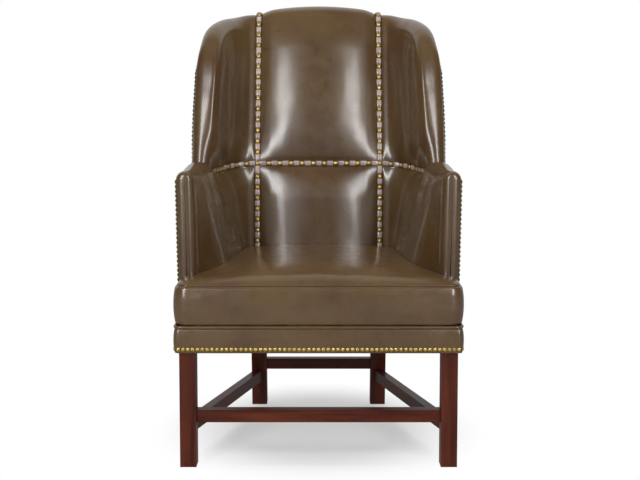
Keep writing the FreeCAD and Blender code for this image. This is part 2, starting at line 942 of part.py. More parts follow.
def cross_outline(x, angle):
    """Outline of the horizontal strap where it crosses one plane of the tub."""
    if angle is None:
        point, normal, angle = at(x, val("back_setback"), 0), BACK, 90
    else:
        point, normal = plan(angle)
    middle = Vector(point.x, point.y, split_level(angle))
    corners = [
        middle + normal * out + UP * (half_strap * up)
        for out, up in ((strap_out, -1), (strap_out, 1), (strap_in, 1), (strap_in, -1))
    ]
    return Part.makePolygon(corners + corners[:1])


strap_end = val("wing_foot_setback") + val("wing_thick") * 0.35
strap_angles = [90, 78, 66, 54, 42, 30, 20, val("side_splay"), angle_at((side_end + strap_end) / 2), angle_at(strap_end)]
cross_half = loft([cross_outline(0, None), cross_outline(strap_x, None)] + [cross_outline(0, a) for a in strap_angles])
cross_strap = cross_half.fuse(cross_half.mirror(Vector(), Vector(1, 0, 0))).removeSplitter()


def upright_strap():
    """The right vertical strap: down the valley from over the top roll to behind the seat."""
    high = back_section(strap_x, 0.05)
    low = lower_back_section(strap_x, 0.05)
    high.wrap = val("wrap_length") * 0.3
    pieces = []
    for outline in (high.cover(strap_out, strap_in), low.facing(strap_out, strap_in)):
        face = Part.Face(outline)
        face.translate(Vector(-half_strap, 0, 0))
        pieces.append(face.extrude(Vector(2 * half_strap, 0, 0)))
    return pieces[0].fuse(pieces[1])


strap_right = upright_strap().cut(cross_strap)
strap_right = Part.makeCompound([solid for solid in strap_right.Solids if solid.Volume > 500])
strap_left = strap_right.mirror(Vector(), Vector(1, 0, 0))
straps = [strap_right, strap_left, cross_strap]
panel_back_upper = panel_back_upper.cut(straps)
panel_back_lower = panel_back_lower.cut(straps)
wing_cover = wing_cover.cut([strap_right, cross_strap])
arm_cover = arm_cover.cut([strap_right, cross_strap])
upper_back_core = upper_back_core.cut([cross_strap])
lower_back_core = lower_back_core.cut([cross_strap])

# Frame inside the tub

lean = math.tan(math.radians(val("post_lean")))


def post_depth_at(level):
    """Front face of the leaning back posts at a height."""
    return val("post_setback") + (level - rail_top) * lean


POST_TOP = "(post_setback + (crest_level - rail_bottom - rail_height)*tan(post_lean*1deg))"
post_x = ("(rear_leg_spread - post_width)", "rear_leg_spread")
back_post = prism(
    "BackPost",
    post_x + ("post_setback", "(post_setback + post_depth)"),
    post_x + (POST_TOP, f"({POST_TOP} + post_depth)"),
    RAIL_TOP,
    "crest_level",
)
back_post_right = keep(back_post, "back_post_right")
keep(mirror("back_post_left", back_post_right), "back_post_left")


def between_posts(name, level, height, thick):
    """A rail between the back posts, inside their thickness."""
    depth = f"(post_setback + ({level} + {height}/2 - rail_bottom - rail_height)*tan(post_lean*1deg) + 4)"
    half = "(rear_leg_spread - post_width)"
    box = (f"-{half}", half, depth, f"({depth} + {thick})")
    return prism(name, box, box, level, f"({level} + {height})")


tack_rail = keep(between_posts("TackRail", "tack_rail_level", "tack_rail_height", "tack_rail_thick"), "rail_tacking")
lumbar_rail = keep(between_posts("LumbarRail", "hoop_level", "hoop_height", "hoop_thick"), "rail_lumbar")
doc.recompute()


def band_face(near, far, start_x, end_angle, level):
    """Plan of a curved rail between two distances outside the tub's inner face."""
    side = plan(end_angle)
    turn = plan(val("side_splay"))
    bend = plan(50)
    middle = plan((end_angle + val("side_splay")) / 2)
    outlines = []
    for out in (near, far):
        lift = UP * level
        points = [side, middle, turn, bend]
        end, mid, joint, corner = [p + n * out + lift for p, n in points]
        flat = at(val("back_flat"), val("back_setback") + out, level)
        start = at(start_x, val("back_setback") + out, level)
        outlines.append((start, flat, corner, joint, mid, end))
    edges = []
    for start, flat, corner, joint, mid, end in outlines:
        edges.append(Part.makeLine(start, flat))
        edges.append(bow(flat, corner, joint))
        edges.append(bow(joint, mid, end))
    edges.append(Part.makeLine(outlines[0][0], outlines[1][0]))
    edges.append(Part.makeLine(outlines[0][5], outlines[1][5]))
    return Part.Face(Part.Wire(Part.__sortEdges__(edges)))


cover_in = val("hoop_cover")
rail_start = val("rear_leg_spread") - val("post_width") * 0.7
arm_rail_face = band_face(cover_in, cover_in + val("hoop_thick"), rail_start, 0, val("hoop_level"))
arm_rail = arm_rail_face.extrude(UP * val("hoop_height")).cut(back_post.Shape)

rail_outer = leg_x + val("rail_outset")


def arm_post():
    """Post from the side rail up to the arm rail, leaning out with the arm."""
    wide = val("arm_post_width")
    deep = val("arm_post_depth")
    depth = arm_start + 4
    slope = (rail_outer - val("rear_leg_spread")) / (rear_leg_front - val("leg_side"))
    foot_x = rail_outer - (depth + deep - val("leg_side")) * slope - wide + 8
    head_x = arm_x + cover_in - 1
    outlines = []
    for x, level in ((foot_x, rail_top), (head_x, val("hoop_level"))):
        corners = [at(x, depth, level), at(x + wide, depth, level)]
        corners += [at(x + wide, depth + deep, level), at(x, depth + deep, level)]
        outlines.append(Part.makePolygon(corners + corners[:1]))
    return Part.makeLoft(outlines, True, True)


arm_post_right = arm_post()


def wing_board():
    """Board that carries the wing, cut to its outline and standing on the arm rail."""
    low = val("hoop_level") + val("hoop_height")
    inset = val("wing_thick") * 0.7
    high = edge_curve.value(0.4).z - inset
    near = cover_in + 2
    plate = band_face(near, near + val("wing_board"), val("back_flat") - 1, angle_at(wing_front), low)
    plate = plate.extrude(UP * (high - low))
    rear = edge_curve.value(0.4).y
    outline = [(front_depth(low) + inset, low), (front_depth(val("wing_straight")) + inset, val("wing_straight"))]
    outline += [(edge_curve.value(0.2).y + inset * 0.8, high), (rear, high), (rear, low)]
    corners = [Vector(0, front_y + depth, level) for depth, level in outline]
    side = Part.Face(Part.makePolygon(corners + corners[:1]))
    return plate.common(side.extrude(Vector(val("chair_width"), 0, 0)))


wing_board_right = wing_board()


def crest_rail():
    """Curved rail under the top roll, from one wing round to the other."""
    level = val("crest_level")
    rise = (level - val("strap_level")) / (top - val("strap_level"))
    curves = []
    for out in (val("crest_cover"), val("crest_cover") + val("crest_thick")):
        right = []
        for angle in (44, 55.5, 67, 78.5, 90):
            point, normal = plan(angle)
            spot = point + normal * out + BACK * (leaned(angle) * rise)
            right.append(Vector(spot.x, spot.y, level))
        left = [Vector(-p.x, p.y, p.z) for p in reversed(right)]
        curve = Part.BSplineCurve()
        curve.interpolate(right + left)
        curves.append((curve.toShape(), right[0], left[-1]))
    edges = [curves[0][0], curves[1][0]]
    edges.append(Part.makeLine(curves[0][1], curves[1][1]))
    edges.append(Part.makeLine(curves[0][2], curves[1][2]))
    face = Part.Face(Part.Wire(Part.__sortEdges__(edges)))
    return face.extrude(UP * val("crest_height"))


crest = crest_rail()
wing_board_right = wing_board_right.cut(crest)


def mirrored(shape):
    return shape.mirror(Vector(), Vector(1, 0, 0))


frame_right = [back_post.Shape, arm_rail, arm_post_right, wing_board_right]
frame_middle = [crest, lumbar_rail.Shape, tack_rail.Shape]
frame_left = [mirrored(shape) for shape in frame_right]
foam_back_upper = upper_back_core.cut(frame_middle + frame_right + frame_left)
foam_back_lower = lower_back_core.cut(frame_middle + frame_right + frame_left)
foam_wing_right = wing_core.cut(frame_middle + frame_right)
foam_arm_right = arm_core.cut(frame_middle + frame_right)

# Seat

ear = val("arm_setback")
half_seat = val("chair_width") / 2
seat_front = -val("seat_proud")


def seat_outline(half, front, radius, rear, level):
    """Edges of the seat front seen from above, open at the rear."""
    bend = radius * (1 - math.sqrt(0.5))
    right = [at(half, rear, level), at(half, front + radius, level)]
    corner = at(half - bend, front + bend, level)
    turned = at(half - radius, front, level)
    flip = [Vector(-p.x, p.y, p.z) for p in (right[0], right[1], corner, turned)]
    return [
        Part.makeLine(right[0], right[1]),
        Part.Arc(right[1], corner, turned).toShape(),
        Part.makeLine(turned, flip[3]),
        Part.Arc(flip[3], flip[2], flip[1]).toShape(),
        Part.makeLine(flip[1], flip[0]),
    ]


def seat_disc(half, front, radius, rear, level):
    """Closed outline of the seat front."""
    edges = seat_outline(half, front, radius, rear, level)
    edges.append(Part.makeLine(at(half, rear, level), at(-half, rear, level)))
    return Part.Wire(Part.__sortEdges__(edges))


def seat_band(half, front, radius, thick, level):
    """Closed outline of a leather round the seat front."""
    edges = seat_outline(half, front, radius, ear, level)
    edges += seat_outline(half - thick, front + thick, radius - thick, ear, level)
    edges.append(Part.makeLine(at(half, ear, level), at(half - thick, ear, level)))
    edges.append(Part.makeLine(at(-half, ear, level), at(thick - half, ear, level)))
    return Part.Wire(Part.__sortEdges__(edges))


bulge = val("boxing_bulge")
radius = val("seat_corner")
welt_top = val("welt_level") + val("welt_radius")
boxing_top = val("boxing_top")
boxing_levels = [
    (welt_top, bulge),
    (welt_top * 0.8 + boxing_top * 0.2, bulge * 0.35),
    ((welt_top + boxing_top) / 2, 0),
    (welt_top * 0.2 + boxing_top * 0.8, bulge * 0.35),
    (boxing_top, bulge),
]
boxing = loft([
    seat_band(half_seat - draw, seat_front + draw, radius, hide, level) for level, draw in boxing_levels
])
ear_foam = loft([
    seat_disc(half_seat - draw - hide, seat_front + draw + hide, radius - hide, ear, level)
    for level, draw in boxing_levels
])


def seat_level(x, depth):
    """Height of the seat's top: crowned across and from front to back."""
    share = min(1.0, (depth - seat_front) / val("seat_rise_run"))
    rise = val("seat_crown") * math.sqrt(max(0.0, 1 - (1 - share) ** 2))
    fall = rise * val("seat_side_fall")
    return boxing_top + rise - fall * (x / half_seat) ** 2


def seat_slice(half, depth, drop, low=None):
    """Outline across the seat between its top, lowered by drop, and a lower line."""
    def spot(x, extra):
        return at(x, depth, seat_level(x, depth) - extra)

    edges = [Part.Arc(spot(-half, drop), spot(0, drop), spot(half, drop)).toShape()]
    if low is None:
        deeper = drop + hide
        edges.append(Part.Arc(spot(-half, deeper), spot(0, deeper), spot(half, deeper)).toShape())
        ends = [spot(half, deeper), spot(-half, deeper)]
    else:
        ends = [at(half, depth, low), at(-half, depth, low)]
        edges.append(Part.makeLine(ends[0], ends[1]))
    edges.append(Part.makeLine(spot(half, drop), ends[0]))
    edges.append(Part.makeLine(spot(-half, drop), ends[1]))
    return Part.Wire(Part.__sortEdges__(edges))


wide = half_seat - bulge
narrow = arm_x + val("arm_thick") / 3
front_depths = [seat_front + bulge, seat_front * 0.4, ear * 0.2, ear * 0.6, ear]
back_end = val("back_setback") + 4
rear_depths = [ear * 0.75, ear * 1.6, ear * 2.6, back_end * 0.6, back_end * 0.8, back_end]
seat_skin_front = loft([seat_slice(wide, depth, 0) for depth in front_depths])
plan_prism = Part.Face(seat_disc(wide, seat_front + bulge, radius, ear, 0)).extrude(UP * top)
seat_skin_front = seat_skin_front.common(plan_prism)
seat_skin_rear = loft([seat_slice(narrow, depth, 0) for depth in rear_depths])
seat_cover = seat_skin_front.fuse(seat_skin_rear)
deck_top = rail_top + val("deck_thick")
under_front = loft([seat_slice(wide - 0.01, depth, hide, boxing_top - 1) for depth in front_depths])
under_front = under_front.common(Part.Face(
    seat_disc(wide - hide, seat_front + bulge + hide, radius - hide, ear, 0)
).extrude(UP * top))
under_rear = loft([seat_slice(narrow, depth, hide, rail_top) for depth in rear_depths])
seat_foam = ear_foam.fuse([under_front, under_rear])

deck_points = [
    (leg_in, rail_back / 2),
    (leg_in, val("leg_side")),
    (rail_inner_x(val("leg_side")) + 8, val("leg_side") + 1),
    (rail_inner_x(rear_leg_front) + 8, rear_leg_front - 1),
    (rear_leg_in, rear_leg_front - 1),
    (rear_leg_in, rear_rail_face + val("rail_thick") / 3),
]


def flat_cloth(points, level, thick):
    """A cloth tacked flat to the rails, from the points of its right half."""
    corners = [at(x, depth, level) for x, depth in points]
    corners += [at(-x, depth, level) for x, depth in reversed(points)]
    return Part.Face(Part.makePolygon(corners + corners[:1])).extrude(UP * thick)


deck = flat_cloth(deck_points, rail_top, val("deck_thick"))
dust_cover = flat_cloth(deck_points, val("rail_bottom") - val("deck_thick"), val("deck_thick"))



def largest(shape):
    """The main solid of a trimmed shape."""
    return max(shape.Solids, key=lambda solid: solid.Volume)


right_tub = [loft([s.core(0) for s in tub + arm[1:]]), loft([s.core(0) for s in nose])]
back_whole = loft([s.core(0) for s in lower_back])
tub_solids = right_tub + [mirrored(s) for s in right_tub] + [back_whole]
seat_foam = largest(seat_foam.cut(tub_solids + [deck]))
seat_cover = largest(seat_cover.cut(tub_solids))

band_half = leg_x + val("band_pad")
band_edge = val("band_pad") - 1
band_end = arm_start - 0.5
lower_band = Part.Face(seat_disc(band_half, -band_edge, val("band_corner"), band_end, val("band_bottom")))
lower_band = lower_band.cut(Part.Face(seat_disc(leg_x, 0, 0.5, band_end, val("band_bottom"))))
lower_band = lower_band.extrude(UP * (val("welt_level") - val("welt_radius") - val("band_bottom")))


def seat_welt():
    """The welt between band and boxing: a round cord in leather, mitred into the front corners."""
    half = half_seat - bulge - 1
    front = seat_front + bulge + 1
    path = Part.Wire(Part.__sortEdges__(seat_outline(half, front, radius, ear, val("welt_level"))))
    ring = []
    for step in range(8):
        turn = math.pi / 4 * (step + 0.5)
        across = val("welt_radius") * math.cos(turn)
        ring.append(at(half + across, ear, val("welt_level") + val("welt_radius") * math.sin(turn)))
    return path.makePipeShell([Part.makePolygon(ring + ring[:1])], True, False)


welt = seat_welt()


def sinuous_spring(x, rear):
    """One zigzag seat spring as flat wire, from the front rail to the rear rail."""
    wire = val("spring_wire")
    step = val("spring_loop")
    half = val("spring_width") / 2
    count = int((rear - rail_back) / step)
    step = (rear - rail_back) / count
    near = []
    far = []
    for turn in range(count + 1):
        depth = rail_back + step * turn
        side = half if turn % 2 else -half
        near.append((x + side - wire / 2, depth))
        far.append((x + side + wire / 2, depth))
    level = rail_top - wire
    corners = [at(a, b, level) for a, b in near] + [at(a, b, level) for a, b in reversed(far)]
    return Part.Face(Part.makePolygon(corners + corners[:1])).extrude(UP * wire)


spring_count = int(val("spring_count"))
spring_pitch = (rear_leg_in * 2 - val("spring_width") - 12) / (spring_count - 1)
springs = [
    sinuous_spring((number - (spring_count - 1) / 2) * spring_pitch, rear_rail_face)
    for number in range(spring_count)
]

# Nails

def nail(radius, height):
    """A domed nailhead with six sides, on its back at the origin."""
    rings = []
    for share, level in ((1, 0), (0.55, height)):
        corners = [
            Vector(radius * share * math.cos(k * math.pi / 3), radius * share * math.sin(k * math.pi / 3), level)
            for k in range(6)
        ]
        rings.append(Part.makePolygon(corners + corners[:1]))
    return Part.makeLoft(rings, True, True)


strap_nail = nail(val("strap_nail_radius"), val("nail_height"))
trim_nail = nail(val("trim_nail_radius"), val("nail_height"))


def drive(head, spot, out):
    """A copy of a nailhead at a spot, facing out."""
    placed = head.copy()
    placed.Placement = FreeCAD.Placement(spot, FreeCAD.Rotation(UP, out))
    return placed


def spaced(curve, pitch):
    """Evenly spaced points of an edge or wire, about a pitch apart."""
    count = max(2, round(curve.Length / pitch) + 1)
    return curve.discretize(Number=count)


def strap_nails():
    """Nails along both vertical straps and the horizontal one."""
    heads = []
    high = back_section(strap_x, 0.05)
    low = lower_back_section(strap_x, 0.05)
    upper_path = Part.Wire(high.face(strap_out) + high.roll(strap_out)[:1])
    lower_path = Part.Wire(low.face(strap_out))
    for path, skip in ((upper_path, 1), (lower_path, 0)):
        spots = spaced(path, val("strap_nail_pitch"))
        for number, spot in enumerate(spots):
            if path is lower_path and (number == len(spots) - 1 or spot.z < val("boxing_top")):
                continue
            if path is upper_path and number == 0:
                continue
            near = spots[max(0, number - 1)]
            far = spots[min(len(spots) - 1, number + 1)]
            run = (far - near).normalize()
            out = Vector(0, -run.z, run.y)
            if out.y > 0 and path is lower_path:
                out = out * -1
            heads.append(drive(strap_nail, spot, out))
    cross = []
    gaps = round(2 * strap_x / val("strap_nail_pitch"))
    for number in range(gaps + 1):
        x = -strap_x + 2 * strap_x * number / gaps
        spot = at(x, val("back_setback") + strap_out, split_level(90))
        cross.append(drive(strap_nail, spot, BACK * -1))
    outer = []
    run = val("strap_nail_pitch")
    x = strap_x + run
    while x < val("back_flat"):
        outer.append((at(x, val("back_setback"), 0), BACK, 90))
        x += run
    left_over = x - val("back_flat")
    angle = 90 - math.degrees(left_over / (val("corner_radius")))
    while angle > val("side_splay"):
        point, normal = plan(angle)
        outer.append((point, normal, angle))
        angle -= math.degrees(run / val("corner_radius"))
    angle = val("side_splay") - (val("side_splay") - angle) * val("corner_radius") / side_radius
    while angle > angle_at(strap_end + val("strap_nail_radius")):
        point, normal = plan(angle)
        outer.append((point, normal, angle))
        angle -= math.degrees(run / side_radius)
    for point, normal, angle in outer:
        spot = Vector(point.x, point.y, split_level(angle)) + normal * strap_out
        heads.append(drive(strap_nail, spot, normal * -1))
    both = heads + [mirrored(head) for head in heads]
    return both + cross


def edge_nails():
    """Close-set nails on the outside of the right arm and wing, beside the wrapped leather."""
    pitch = val("trim_nail_pitch")
    inset = val("trim_nail_radius") + 1
    heads = []

    def row(points, normals):
        curve = Part.BSplineCurve()
        curve.interpolate(points)
        edge = curve.toShape()
        for spot in spaced(edge, pitch):
            best = min(range(len(points)), key=lambda k: (points[k] - spot).Length)
            other = min(
                (k for k in (best - 1, best + 1) if 0 <= k < len(points)),
                key=lambda k: (points[k] - spot).Length,
            )
            near = (points[best] - spot).Length
            far = (points[other] - spot).Length
            out = (normals[best] * far + normals[other] * near).normalize()
            heads.append(drive(trim_nail, spot, out))

    front = nose[0]
    slope = (front.outer_foot(0) - front.shoulder(1, 0)).normalize()
    start = front.shoulder(1, 0) + slope * (val("wrap_length") - inset)
    stop = front.shoulder(1, 0) + slope * ((front.shoulder(1, 0).z - boxing_top) + inset)
    shift = BACK * -inset
    for spot in spaced(Part.makeLine(stop + shift, start + shift), pitch):
        heads.append(drive(trim_nail, spot, front.normal))
    sections = [arm[4], arm[3], arm[2], arm[1]]
    points = []
    for section in sections:
        run = (section.outer_foot(0) - section.shoulder(1, 0)).normalize()
        points.append(section.shoulder(1, 0) + run * (section.wrap - inset))
    row(points, [section.normal for section in sections])
    sections = list(reversed(wing[2:]))
    points = []
    for section in sections:
        run = (section.outer_foot(0) - section.shoulder(1, 0)).normalize()
        points.append(section.shoulder(1, 0) + run * (section.wrap - inset))
    row(points, [section.normal for section in sections])
    return heads


def band_nails():
    """Close-set nails along the bottom of the lower band."""
    level = val("band_bottom") + val("band_nail_rise")
    half = band_half
    spots = []
    gaps = round((half - val("band_corner")) * 2 / val("trim_nail_pitch"))
    for number in range(gaps + 1):
        x = (half - val("band_corner")) * (2 * number / gaps - 1)
        spots.append((at(x, -band_edge, level), BACK * -1))
    gaps = round((band_end + band_edge - val("band_corner")) / val("trim_nail_pitch"))
    for number in range(gaps):
        depth = band_end - val("trim_nail_radius") - number * val("trim_nail_pitch")
        if depth < val("band_corner") - band_edge:
            break
        spots.append((at(half, depth, level), Vector(1, 0, 0)))
        spots.append((at(-half, depth, level), Vector(-1, 0, 0)))
    return [drive(trim_nail, spot, out) for spot, out in spots]


right_edge_nails = edge_nails()

# The nodes made in code

def pair(label, shape):
    """A piece on the right and its mirror image on the left."""
    keep(feature(f"{label}_r", shape), f"{label}_right")
    keep(feature(f"{label}_l", mirrored(shape)), f"{label}_left")


hard = [leg_front_right.Shape, leg_rear_right.Shape, rail_right.Shape]
keep(feature("crest", crest), "rail_crest")
pair("rail_arm", arm_rail)
pair("arm_post", arm_post_right)
pair("wing_board", wing_board_right)
keep(feature("springs", Part.makeCompound(springs)), "seat_springs")
keep(feature("deck", deck), "seat_deck")
keep(feature("dust", dust_cover), "dust_cover")
keep(feature("seat_core", seat_foam), "foam_seat")
keep(feature("seat_top", seat_cover), "panel_seat_top")
keep(feature("boxing", boxing), "panel_boxing")
keep(feature("band", lower_band), "panel_lower_band")
keep(feature("welt", welt), "seat_welt")
keep(feature("back_foam_upper", foam_back_upper), "foam_back_upper")
keep(feature("back_foam_lower", foam_back_lower), "foam_back_lower")
pair("foam_wing", foam_wing_right)
pair("foam_arm", foam_arm_right)
keep(feature("back_panel_upper", panel_back_upper), "panel_back_upper")
keep(feature("back_panel_lower", panel_back_lower), "panel_back_lower")
pair("panel_wing", wing_cover)
pair("panel_arm", arm_cover)
keep(feature("outside_back_skin", outside_back), "outside_back")
pair("outside_wing", wing_outside)
pair("outside_arm", arm_outside.cut(hard))
pair("strap", strap_right)
keep(feature("cross", cross_strap), "strap_cross")
keep(feature("strap_heads", Part.makeCompound(strap_nails())), "strap_nails")
keep(feature("band_heads", Part.makeCompound(band_nails())), "band_nails")
pair("edge_nails", Part.makeCompound(right_edge_nails))

# Check and export

doc.recompute()
for obj in doc.Objects:
    if "Invalid" in obj.State or "Error" in obj.State:
        raise RuntimeError(f"{obj.Name} failed: {obj.State}")
for label, obj in NODES.items():
    if obj.Shape.isNull() or not obj.Shape.isValid() or not obj.Shape.Solids:
        raise RuntimeError(f"{label} has no valid shape")

os.makedirs("parts", exist_ok=True)
for label, obj in NODES.items():
    obj.Shape.exportStep(f"parts/{label}.step")
print(f"{len(NODES)} sub-parts written")
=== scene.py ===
import math

import bmesh
import bpy
import numpy as np
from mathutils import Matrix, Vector, noise


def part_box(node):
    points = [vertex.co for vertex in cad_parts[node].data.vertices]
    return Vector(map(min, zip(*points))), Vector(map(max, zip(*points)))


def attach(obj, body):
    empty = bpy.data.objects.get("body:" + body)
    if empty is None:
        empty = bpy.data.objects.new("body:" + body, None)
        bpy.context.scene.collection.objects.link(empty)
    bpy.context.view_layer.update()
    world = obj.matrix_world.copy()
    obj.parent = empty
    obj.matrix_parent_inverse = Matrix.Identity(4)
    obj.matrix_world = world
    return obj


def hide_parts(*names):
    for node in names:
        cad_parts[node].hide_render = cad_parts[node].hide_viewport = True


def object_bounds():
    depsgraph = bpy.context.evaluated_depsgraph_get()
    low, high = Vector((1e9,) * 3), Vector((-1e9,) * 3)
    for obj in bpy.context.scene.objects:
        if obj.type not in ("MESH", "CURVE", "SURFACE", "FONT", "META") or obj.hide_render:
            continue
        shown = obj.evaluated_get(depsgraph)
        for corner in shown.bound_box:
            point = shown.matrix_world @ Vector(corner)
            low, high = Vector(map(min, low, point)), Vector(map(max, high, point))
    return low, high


# Barrel-backed wing armchair: glossy olive-brown leather panels under nailed straps, on dark mahogany
# legs. Metres. The chair faces -Y, and every depth is measured back from the front legs' front faces.

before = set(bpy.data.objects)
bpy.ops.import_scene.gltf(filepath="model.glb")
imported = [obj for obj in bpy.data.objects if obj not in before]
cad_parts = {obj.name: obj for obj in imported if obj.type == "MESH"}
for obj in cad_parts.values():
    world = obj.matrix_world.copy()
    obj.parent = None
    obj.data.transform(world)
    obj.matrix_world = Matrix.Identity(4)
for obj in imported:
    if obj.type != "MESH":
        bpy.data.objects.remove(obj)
CAD_LOW, CAD_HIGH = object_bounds()

# The tub, as in the part's source

FRONT_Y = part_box("leg_front_left")[0].y
CHAIR_TOP = CAD_HIGH.z
PAST_SEAT = 0.001
CHAIR_HALF = CAD_HIGH.x - PAST_SEAT
RAIL_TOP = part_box("rail_front")[1].z
BAND_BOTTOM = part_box("panel_lower_band")[0].z
WELT_LEVEL = 0.3415
BOXING_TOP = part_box("panel_boxing")[1].z

BACK_SETBACK = 0.497
BACK_FLAT = 0.185
CORNER_RADIUS = 0.085
SPLAY = math.radians(10)
ARM_SETBACK = 0.060
ARM_THICK = 0.0435
WING_THICK = 0.049
BACK_THICK = 0.088
ROLL_THICK = 0.066
ROLL_TILT = 0.0027
BACK_LEAN = CAD_HIGH.y - FRONT_Y - BACK_SETBACK - ROLL_THICK + ROLL_TILT
STRAP_LEVEL = 0.698
STRAP_DROOP = 0.014
STRAP_X = 0.171
STRAP_HALF = 0.008
STRAP_TOP_DROP = 0.016
CORNER_DROP = 0.010
CORNER_ANGLE = 46.0
WING_RAKE = math.radians(16)
WING_STRAIGHT = 0.960
WING_FOOT = 0.291
ARM_LEVEL = 0.702
TUCK_BACK = 0.022
TUCK_SIDE = 0.066
OUTER_TUCK_BACK = 0.059
OUTER_TUCK_SIDE = 0.073
TUCK_FRONT = 0.006
TUCK_RUN = 0.130
HIDE = 0.0035
WRAP = 0.034
LEAN_POWER = 1.3
ROUND_LOW = 0.092
ROUND_HIGH = (0.088, 0.022)

CORNER_DEPTH = BACK_SETBACK - CORNER_RADIUS
SIDE_END = CORNER_DEPTH + CORNER_RADIUS * math.sin(SPLAY)
ARM_START = ARM_SETBACK + ARM_THICK / 2
SIDE_RADIUS = (SIDE_END - ARM_START) / math.sin(SPLAY)
SIDE_END_X = BACK_FLAT + CORNER_RADIUS * math.cos(SPLAY)
ARM_X = SIDE_END_X + SIDE_RADIUS * (1 - math.cos(SPLAY))

UP = np.array([0.0, 0.0, 1.0])
REAR = np.array([0.0, 1.0, 0.0])
MIRROR = np.array([-1, 1, 1])
SIDES = (("right", 1), ("left", -1))


def at(x, depth, level):
    """A point from its distance off centre, depth behind the front legs' faces and height."""
    return np.array([x, FRONT_Y + depth, level], float)


def unit(vector):
    return vector / np.linalg.norm(vector)


def units(vectors):
    """Rows of vectors, each made one long."""
    return vectors / np.linalg.norm(vectors, axis=1, keepdims=True)


def raised(point, level):
    """A point moved up or down to a level."""
    return point * [1, 1, 0] + UP * level


def between(start, end, count, first=0, last=0):
    """Points from one to another in even steps, by the first and one past the last of them."""
    return [start + (end - start) * (k / count) for k in range(first, last or count)]


def ease(share):
    """A share from 0 to 1 with a soft start and a soft end."""
    share = np.clip(share, 0, 1)
    return share * share * (3 - 2 * share)


def plan(angle):
    """Point of the tub's inner line at strap height and its outward normal, by the normal's angle."""
    turn = math.radians(angle)
    normal = np.array([math.cos(turn), math.sin(turn), 0.0])
    if turn >= SPLAY:
        return at(BACK_FLAT, CORNER_DEPTH, 0) + normal * CORNER_RADIUS, normal
    return at(ARM_X - SIDE_RADIUS, ARM_START, 0) + normal * SIDE_RADIUS, normal


def angle_at(depth):
    if depth >= SIDE_END:
        return math.degrees(math.asin(min(1.0, (depth - CORNER_DEPTH) / CORNER_RADIUS)))
    return math.degrees(math.asin((depth - ARM_START) / SIDE_RADIUS))


def split_level(angle):
    """Height of the horizontal strap, which droops towards the front."""
    return STRAP_LEVEL - STRAP_DROOP * (90 - angle) / 90


def share_of_back(angle):
    return max(0.0, math.sin(math.radians(angle)) - math.sin(SPLAY)) / (1 - math.sin(SPLAY))


def mix(side, back, angle):
    return side + (back - side) * share_of_back(angle)


def top_level(x):
    """Height of the back's top edge, which falls from the middle to the corners."""
    beyond = max(0.0, abs(x) - STRAP_X) / STRAP_X
    return CHAIR_TOP - STRAP_TOP_DROP * (x / STRAP_X) ** 2 - CORNER_DROP * beyond


FOOT_LEVEL = split_level(angle_at(WING_FOOT))


def leaned(angle):
    """How far the rolled edge leans back, by the angle of the tub's normal."""
    return BACK_LEAN * share_of_back(angle) ** LEAN_POWER


def edge_point(angle):
    """The rolled edge's place in plan, by the angle of the tub's normal."""
    point, normal = plan(angle)
    return point + normal * (mix(WING_THICK, ROLL_THICK, angle) / 2) + REAR * leaned(angle)


def corner_tip(angle):
    point = edge_point(angle)
    return raised(point, top_level(point[0]))


def edge_tip(depth, level):
    """Point of the wing's rolled edge at a depth and a height."""
    low, high = 0.0, 90.0
    for _ in range(24):
        middle = (low + high) / 2
        low, high = (middle, high) if edge_point(middle)[1] - FRONT_Y < depth else (low, middle)
    return at(edge_point(low)[0], depth, level)


def front_depth(level):
    return WING_FOOT + (level - FOOT_LEVEL) * math.tan(WING_RAKE)


def round_tip(share):
    """Point of the rolled edge where the wing's front turns into its top, along a cubic."""
    low = np.array([front_depth(WING_STRAIGHT), WING_STRAIGHT])
    corner = corner_tip(CORNER_ANGLE)
    high = np.array([corner[1] - FRONT_Y, corner[2]])
    poles = [
        low,
        low + np.array([math.sin(WING_RAKE), math.cos(WING_RAKE)]) * ROUND_LOW,
        high - np.array(ROUND_HIGH),
        high,
    ]
    rest = 1 - share
    spot = poles[0] * rest**3 + poles[1] * (3 * rest**2 * share) + poles[2] * (3 * rest * share**2)
    spot = spot + poles[3] * share**3
    return edge_tip(*spot)


def front_tip(share):
    level = FOOT_LEVEL + (WING_STRAIGHT - FOOT_LEVEL) * share
    return edge_tip(front_depth(level), level)


# Pads: cross-sections of the tub's wall, swept into closed upholstered forms

# Steps of a rib's outline: its face, roll, wrapped edge, hidden outside and base
FACE = 64
ROLL = 30
WRAPPED = 8
INSIDE = 10
BASE = 4
ROLL_END = FACE + ROLL
WRAP_END = ROLL_END + WRAPPED
FLAT_ARCH = 0.002
FLAT_WRAP = 0.001
SHEET_STEPS = 40
SHEET_SUNK = 0.0012
UNDERLAP = 0.006


